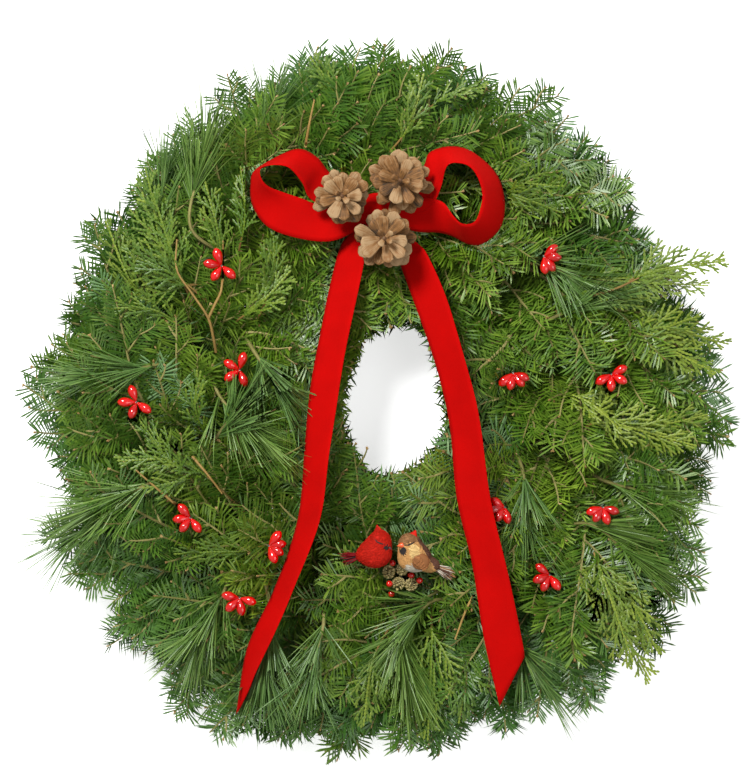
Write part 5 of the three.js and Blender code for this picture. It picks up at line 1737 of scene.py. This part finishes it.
class WREATH_OT_add_birds(Operator):
    """Adds the two small birds"""

    bl_idname = "wreath.add_birds"
    bl_label = "Add Birds"

    def execute(self, context):
        trim = context.scene.wreath_trim
        red, tan, brown, mask, pale, deep, cap, back, cream = (
            feather_material(f"{name} Feathers", colour) for name, colour in (
                ("Red", trim.red_feather), ("Tan", trim.tan_feather), ("Brown", trim.brown_feather),
                ("Mask", linear(54, 50, 48)), ("Pale", linear(206, 196, 178)),
                ("Deep Red", linear(124, 14, 22)), ("Cap", linear(150, 108, 70)),
                ("Back", linear(104, 72, 56)), ("Cream", linear(232, 196, 130))))
        dark_bill, orange_bill, eye = (horn_material(name, colour) for name, colour in (
            ("Dark Bill", linear(62, 56, 56)), ("Orange Bill", linear(226, 92, 40)),
            ("Bird Eye", linear(8, 8, 8))))
        wire = bare_wire_material()
        add_red_bird([red, mask, wire, eye, deep], dark_bill)
        add_tan_bird([tan, mask, wire, eye, pale, red, cap, back, cream], brown, orange_bill)
        return {"FINISHED"}


def horn_material(name, colour):
    """Smooth horn with a faint grain."""
    return grown_material(name, shaded(colour, 0.6), colour, shaded(colour, 1.25), colour, 0.0, 220.0,
                          0.4, 0.1, 1500.0, (0.18, 0.34), 0.1, Coat_Weight=0.3)


# Places in a bird's list of finishes: those of both birds and the red one's tail, then the tan one's
COAT, MASK, WIRE, EYE, TAIL = range(5)
PALE, RED, CAP, BACK, CREAM = range(4, 9)


def within(point, centre, half):
    """True for a point inside an oval, seen from above."""
    return ((point[0] - centre[0]) / half[0]) ** 2 + ((point[1] - centre[1]) / half[1]) ** 2 < 1


def add_wispy_tail(form, root, tip, finishes, rng, count):
    """A loose brush of thin barbs that spread from the rump."""
    root, tip = np.asarray(root, float), np.asarray(tip, float)
    way = unit(tip - root)
    across = unit(np.cross(way, UP))
    length = np.linalg.norm(tip - root)
    for _ in range(count):
        part = rng.uniform(-1, 1)
        size = length * rng.uniform(0.6, 1.0)
        share = np.linspace(0, 1, 7)
        path = root + across * part * 2.2 + way * column(size * share)
        path = path + across * column(part * 4.0 * share**1.5 + rng.normal(0, 0.5) * share)
        path = path + UP * column(rng.uniform(-1.2, 2.2) * share)
        half = rng.uniform(0.5, 0.9) * np.array([0.6, 1, 1, 0.9, 0.8, 0.5, 0.1])
        add_plate(form, path, across, UP, half, 0.25, -0.2, rng.choice(finishes),
                  rng.uniform(0.2, 0.9), columns=3)


def red_bird_finish(point):
    """Red, with a dark patch under the bill."""
    return MASK if within(point, (8.6, -142.6), (2.4, 2.6)) else COAT


def tan_bird_finish(point):
    """Tan breast, cream cheek, white belly, brown cap and back, dark bib."""
    x, y = point[:2]
    if within(point, (23.6, -145.8), (3.3, 3.8)):
        return MASK
    if y > -138.2 + 0.18 * (x - 30) and x < 37:
        return CAP
    if x - 39.5 > (y + 139) * -0.62 and y < -127:
        return BACK
    if within(point, (33.0, -163.5), (8.5, 5.5)):
        return PALE
    if within(point, (34.0, -146.0), (5.4, 7.0)):
        return CREAM
    return COAT


def add_eye_line(form, skin, places, radius):
    """A dark line that lies on the bird's skin through the places given."""
    path = []
    for x, y in places:
        upper = skin[skin[:, 2] > BIRD_HEIGHT]
        path.append(upper[np.argmin(np.hypot(upper[:, 0] - x, upper[:, 1] - y))] + UP * 0.15)
    add_tube(form, smooth_path(path, 14), radius * np.sin(np.linspace(0.3, 2.9, 14)), 6, MASK)


def add_red_bird(finishes, bill):
    """Red all over, with a dark eye line and patch, and a dark red wispy tail."""
    form = Form()
    rng = np.random.default_rng(RED_BIRD_SEED)
    skin = add_bird(form, RED_BIRD, red_bird_finish, rng)
    body, tail, crest, head = spots(RED_BIRD, "body", "tail", "crest", "head")
    add_wispy_tail(form, body + (tail - body) * 0.36, tail, [TAIL, TAIL, TAIL, MASK], rng, 40)
    add_long_feathers(form, head + (crest - head) * 0.1 + UP, crest + [1.0, 0.6, 0], -0.2, 5, 10.0, COAT,
                      rng, pointed=True)
    add_eye_line(form, skin, [(-4.2, -134.2), (-1.0, -137.2), (3.0, -139.2), (7.0, -139.6)], 0.7)
    add_eye(form, head + [-0.6, -1.6, 8.4], 0.9)
    add_wire(form, wire_to_ring(body - UP * 8), 1.2, WIRE)
    finish_piece(form, "red_bird_plumage", finishes, ["red_bird"])
    finish_piece(bird_bill(RED_BIRD, 2.3), "red_bird_bill", [bill], ["red_bird_beak"])


def add_tan_bird(finishes, brown, bill):
    """Tan and cream, with a red tuft, dark bib, round brown wing and pale wispy tail."""
    form = Form()
    rng = np.random.default_rng(TAN_BIRD_SEED)
    body, tail, crest, head = spots(TAN_BIRD, "body", "tail", "crest", "head")
    skin = add_bird(form, TAN_BIRD, tan_bird_finish, rng)
    root = body + (tail - body) * 0.4 + UP * 2
    add_long_feathers(form, root - UP * 3.5, tail, 0.1, 3, 2.6, CAP, rng)
    add_wispy_tail(form, root, root + (tail - root) * 0.9, [PALE, PALE, BACK, CAP, PALE, BACK], rng, 64)
    add_eye_line(form, skin, [(24.8, -140.8), (28.0, -140.4), (32.0, -138.8), (36.4, -136.6)], 0.75)
    add_eye(form, head + [-1.2, -0.8, 8.6], 1.15)
    add_wire(form, wire_to_ring(body - UP * 8), 1.2, WIRE)
    finish_piece(form, "tan_bird_plumage", finishes, ["tan_bird"])
    form = Form()
    add_long_feathers(form, head + (crest - head) * 0.1 + UP * 5, crest + [0.0, -0.4, 1], -0.14, 6, 9.0, 0,
                      rng, pointed=True)
    finish_piece(form, "tan_bird_red_tuft", [finishes[RED]], ["tan_bird_crest"])
    finish_piece(bird_bill(TAN_BIRD, 3.2), "tan_bird_bill", [bill], ["tan_bird_beak"])
    form = Form()
    centre = body + [5.6, -3.4, 11.5]
    add_oval(form, centre - UP * 0.6, (8.6, 8.0, 3.4), 28, 14, 0, 0.3)
    for row in range(5):
        start = centre + np.array([row * 1.9 - 6.6, 3.6 - row * 1.5, 2.9 - 0.12 * row**2])
        add_long_feathers(form, start, start + np.array([5.6, -4.2, 0.2 - 0.3 * row]), 0.5, 5, 3.0, 0, rng)
    finish_piece(form, "tan_bird_brown_wing", [brown], ["tan_bird_wing"])


class WREATH_OT_add_picks(Operator):
    """Adds the pick of little cones and the pick of round berries"""

    bl_idname = "wreath.add_picks"
    bl_label = "Add Picks"

    def execute(self, context):
        trim = context.scene.wreath_trim
        wire = bare_wire_material()
        small = wood_material("Small Cone Scale", trim.small_cone_colour, 300.0, 2000.0)
        form = small_cone_pick(np.random.default_rng(CONE_PICK_SEED))
        finish_piece(form, "little_cone_pick", [small, wire], ["small_cone_pick"])
        lacquer = lacquer_material(trim.berry_colour)
        form = round_berry_pick(np.random.default_rng(BERRY_PICK_SEED))
        finish_piece(form, "little_berry_pick", [lacquer, wire], ["round_berry_pick"])
        return {"FINISHED"}


class WREATH_OT_add_fir(Operator):
    """Adds the fir foliage, one bunch for each clamp"""

    bl_idname = "wreath.add_fir"
    bl_label = "Add Fir"

    def execute(self, context):
        settings = context.scene.wreath_foliage
        finishes = needle_materials(settings) + twig_materials(settings)
        settle = foliage_ceiling().settle
        for index, clock in enumerate(CLAMP_CLOCKS):
            form = fir_bunch(index, clock, settings)
            finish_piece(form, f"fir_foliage_{index + 1:02d}", finishes,
                         [f"fir_bunch_{index + 1:02d}"], settle)
        return {"FINISHED"}


class WREATH_OT_add_pine(Operator):
    """Adds the tufts of long pine needles"""

    bl_idname = "wreath.add_pine"
    bl_label = "Add Pine Tufts"

    def execute(self, context):
        settings = context.scene.wreath_foliage
        green = settings.pine_colour
        needle = grown_material("Pine Needle", shaded(green, 0.4), green, linear(136, 164, 74),
                                linear(84, 122, 74), 0.6, 50.0, 0.4, 0.2, 900.0, (0.35, 0.5),
                                Specular_IOR_Level=0.4)
        finishes = [needle, needle] + twig_materials(settings)
        settle = foliage_ceiling().settle
        length, width = settings.pine_needle_length / MM, settings.pine_needle_width / MM
        for i, spray in enumerate(PINE_SPRAYS):
            rng = np.random.default_rng(PINE_SEED + i)
            form = Form(rng.uniform(0.1, 0.9))
            add_pine_tuft(form, stem_path(spray), length, width, settings.pine_bundles, rng, 0.55)
            finish_piece(form, f"pine_tuft_{i + 1}", finishes, [f"pine_spray_{i + 1}"],
                         settle)
        form = Form()
        for i, corners in enumerate(PINE_FILLERS):
            rng = np.random.default_rng(SMALL_PINE_SEED + i)
            form.hue = rng.uniform(0.1, 0.9)
            add_pine_tuft(form, smooth_path(corners, 24), length * 0.9, width,
                          settings.pine_bundles * 2 // 3, rng, 0.5)
        finish_piece(form, "pine_tufts_small", finishes, settle=settle)
        return {"FINISHED"}


class WREATH_OT_add_cedar(Operator):
    """Adds the flat cedar sprays, the sprigs between them and the bare twigs"""

    bl_idname = "wreath.add_cedar"
    bl_label = "Add Cedar"

    def add_spray(self, form, path, bare, radius, hues, rng):
        """A stem that is bare for a share of its path, and its frond, paler far out on the right."""
        add_cedar_stem(form, path[: int(bare * len(path)) + 2], radius, rng)
        form.hue = rng.uniform(*hues)
        tone = YELLOW_TONE if path[-1][0] > YELLOW_FROM else GREEN_TONE
        add_frond(form, path, bare, rng, tone + rng.uniform(-0.1, 0.1))

    def execute(self, context):
        settings = context.scene.wreath_foliage
        green = settings.cedar_colour
        # The leaves carry painted shade low down, as strong as deep says
        leaf = grown_material("Cedar Leaf", shaded(green, 0.42), green, linear(140, 156, 46),
                              linear(66, 102, 30), 0.5, 70.0, 0.5, 0.14, 1100.0, (0.38, 0.55), 0.4,
                              0.0003, deep=0.5)
        stem = grown_material("Cedar Stem", linear(96, 58, 24), linear(136, 108, 50),
                              linear(180, 146, 78), linear(140, 96, 50), 0.1, 90.0, 0.6, 0.0, 1300.0,
                              (0.6, 0.8), 0.4, 0.0003)
        settle = foliage_ceiling().settle
        for i, spray in enumerate(CEDAR_FRONDS):
            form = Form()
            rng = np.random.default_rng(CEDAR_SEED + i)
            self.add_spray(form, stem_path(spray, FROND_POINTS), FROND_START, STEM_RADIUS, (0.1, 0.6), rng)
            finish_piece(form, f"cedar_spray_{i + 1}", [leaf, stem], [f"cedar_frond_{i + 1}"],
                         settle)
        form = Form()
        for i, (corners, bare) in enumerate(CEDAR_SPRIGS):
            rng = np.random.default_rng(SPRIG_SEED + i)
            self.add_spray(form, smooth_path(corners, FROND_POINTS), bare, 1.5, (0.2, 0.8), rng)
        for i, corners in enumerate(BARE_TWIGS):
            rng = np.random.default_rng(BARE_TWIG_SEED + i)
            add_cedar_stem(form, smooth_path(corners, 20), 1.4, rng)
        finish_piece(form, "cedar_sprigs", [leaf, stem], settle=settle)
        return {"FINISHED"}


class WREATH_OT_add_stage(Operator):
    """Adds the pale floor, the soft lights and the camera"""

    bl_idname = "wreath.add_stage"
    bl_label = "Add Stage"

    def execute(self, context):
        scene = context.scene
        settings = scene.wreath_stage
        material, tree, shader = new_material(
            "Pale Floor", Roughness=0.9, Emission_Color=(1, 1, 1), Emission_Strength=settings.floor_glow)
        colour = settings.floor_colour
        grain = fine_grain(tree, 40.0, 0.0, 1.0)
        tint = mix_colour(tree, grain["Value"], shaded(colour, 0.99), colour)
        tree.links.new(tint, shader.inputs["Base Color"])
        mesh = bpy.data.meshes.new("floor")
        corners = [(x * FLOOR_HALF, y * FLOOR_HALF, 0) for x, y in ((-1, -1), (1, -1), (1, 1), (-1, 1))]
        mesh.from_pydata(corners, [], [(0, 1, 2, 3)])
        mesh.materials.append(material)
        floor = bpy.data.objects.new("floor", mesh)
        scene.collection.objects.link(floor)
        self.add_lights(scene, settings)
        self.add_camera(scene, settings)
        return {"FINISHED"}

    def add_lights(self, scene, settings):
        world = bpy.data.worlds.new("Soft White")
        world.use_nodes = True
        sky = world.node_tree.nodes["Background"].inputs
        sky["Color"].default_value = (1, 1, 1, 1)
        sky["Strength"].default_value = settings.fill_strength
        scene.world = world
        for name, where, size, power in (
            ("Key Light", (-1.1, 1.5, 2.2), 0.9, settings.key_strength),
            ("Fill Light", (1.8, -0.6, 2.4), 2.0, settings.key_strength * 0.25),
        ):
            light = bpy.data.lights.new(name, "AREA")
            light.shape = "DISK"
            light.size = size
            light.energy = power
            lamp = bpy.data.objects.new(name, light)
            lamp.location = where
            lamp.rotation_euler = (-Vector(where)).to_track_quat("-Z", "Y").to_euler()
            scene.collection.objects.link(lamp)

    def add_camera(self, scene, settings):
        lens = bpy.data.cameras.new("Photo Camera")
        lens.lens = settings.lens
        lens.sensor_width = SENSOR
        camera = bpy.data.objects.new("Photo Camera", lens)
        distance = VIEW_HEIGHT * settings.lens / SENSOR
        camera.location = (*VIEW_CENTRE, distance + VIEW_LEVEL)
        scene.collection.objects.link(camera)
        scene.camera = camera
        scene.view_settings.view_transform = "Standard"


class WREATH_PT_parts(Panel):
    """Lists the parts of the wreath and what may be changed on them"""

    bl_label = "Evergreen Wreath"
    bl_idname = "WREATH_PT_parts"
    bl_space_type = "VIEW_3D"
    bl_region_type = "UI"
    bl_category = "Wreath"

    def draw(self, context):
        scene = context.scene
        for settings, operators in (
            (scene.wreath_foliage, (WREATH_OT_add_fir, WREATH_OT_add_pine, WREATH_OT_add_cedar)),
            (scene.wreath_bow, (WREATH_OT_add_bow,)),
            (scene.wreath_trim, (WREATH_OT_add_ring, WREATH_OT_add_cones, WREATH_OT_add_berries,
                                 WREATH_OT_add_birds, WREATH_OT_add_picks)),
            (scene.wreath_stage, (WREATH_OT_add_stage,)),
        ):
            box = self.layout.box()
            for key in settings.__annotations__:
                box.prop(settings, key)
            for operator in operators:
                box.operator(operator.bl_idname)


SETTINGS = {
    "wreath_foliage": WreathFoliage,
    "wreath_bow": WreathBow,
    "wreath_trim": WreathTrim,
    "wreath_stage": WreathStage,
}
OPERATORS = (
    WREATH_OT_add_ring, WREATH_OT_add_fir, WREATH_OT_add_pine, WREATH_OT_add_cedar, WREATH_OT_add_bow,
    WREATH_OT_add_cones, WREATH_OT_add_berries, WREATH_OT_add_birds, WREATH_OT_add_picks,
    WREATH_OT_add_stage,
)


def register():
    for cls in (*SETTINGS.values(), *OPERATORS, WREATH_PT_parts):
        bpy.utils.register_class(cls)
    for key, cls in SETTINGS.items():
        setattr(bpy.types.Scene, key, PointerProperty(type=cls))


def unregister():
    for key in SETTINGS:
        delattr(bpy.types.Scene, key)
    for cls in reversed((*SETTINGS.values(), *OPERATORS, WREATH_PT_parts)):
        bpy.utils.unregister_class(cls)


def main():
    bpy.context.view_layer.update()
    register()
    bpy.ops.wreath.add_ring()
    bpy.ops.wreath.add_fir()
    bpy.ops.wreath.add_pine()
    bpy.ops.wreath.add_cedar()
    bpy.ops.wreath.add_bow()
    bpy.ops.wreath.add_cones()
    bpy.ops.wreath.add_berries()
    bpy.ops.wreath.add_birds()
    bpy.ops.wreath.add_picks()
    bpy.ops.wreath.add_stage()
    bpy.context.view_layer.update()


if __name__ == "__main__":
    main()
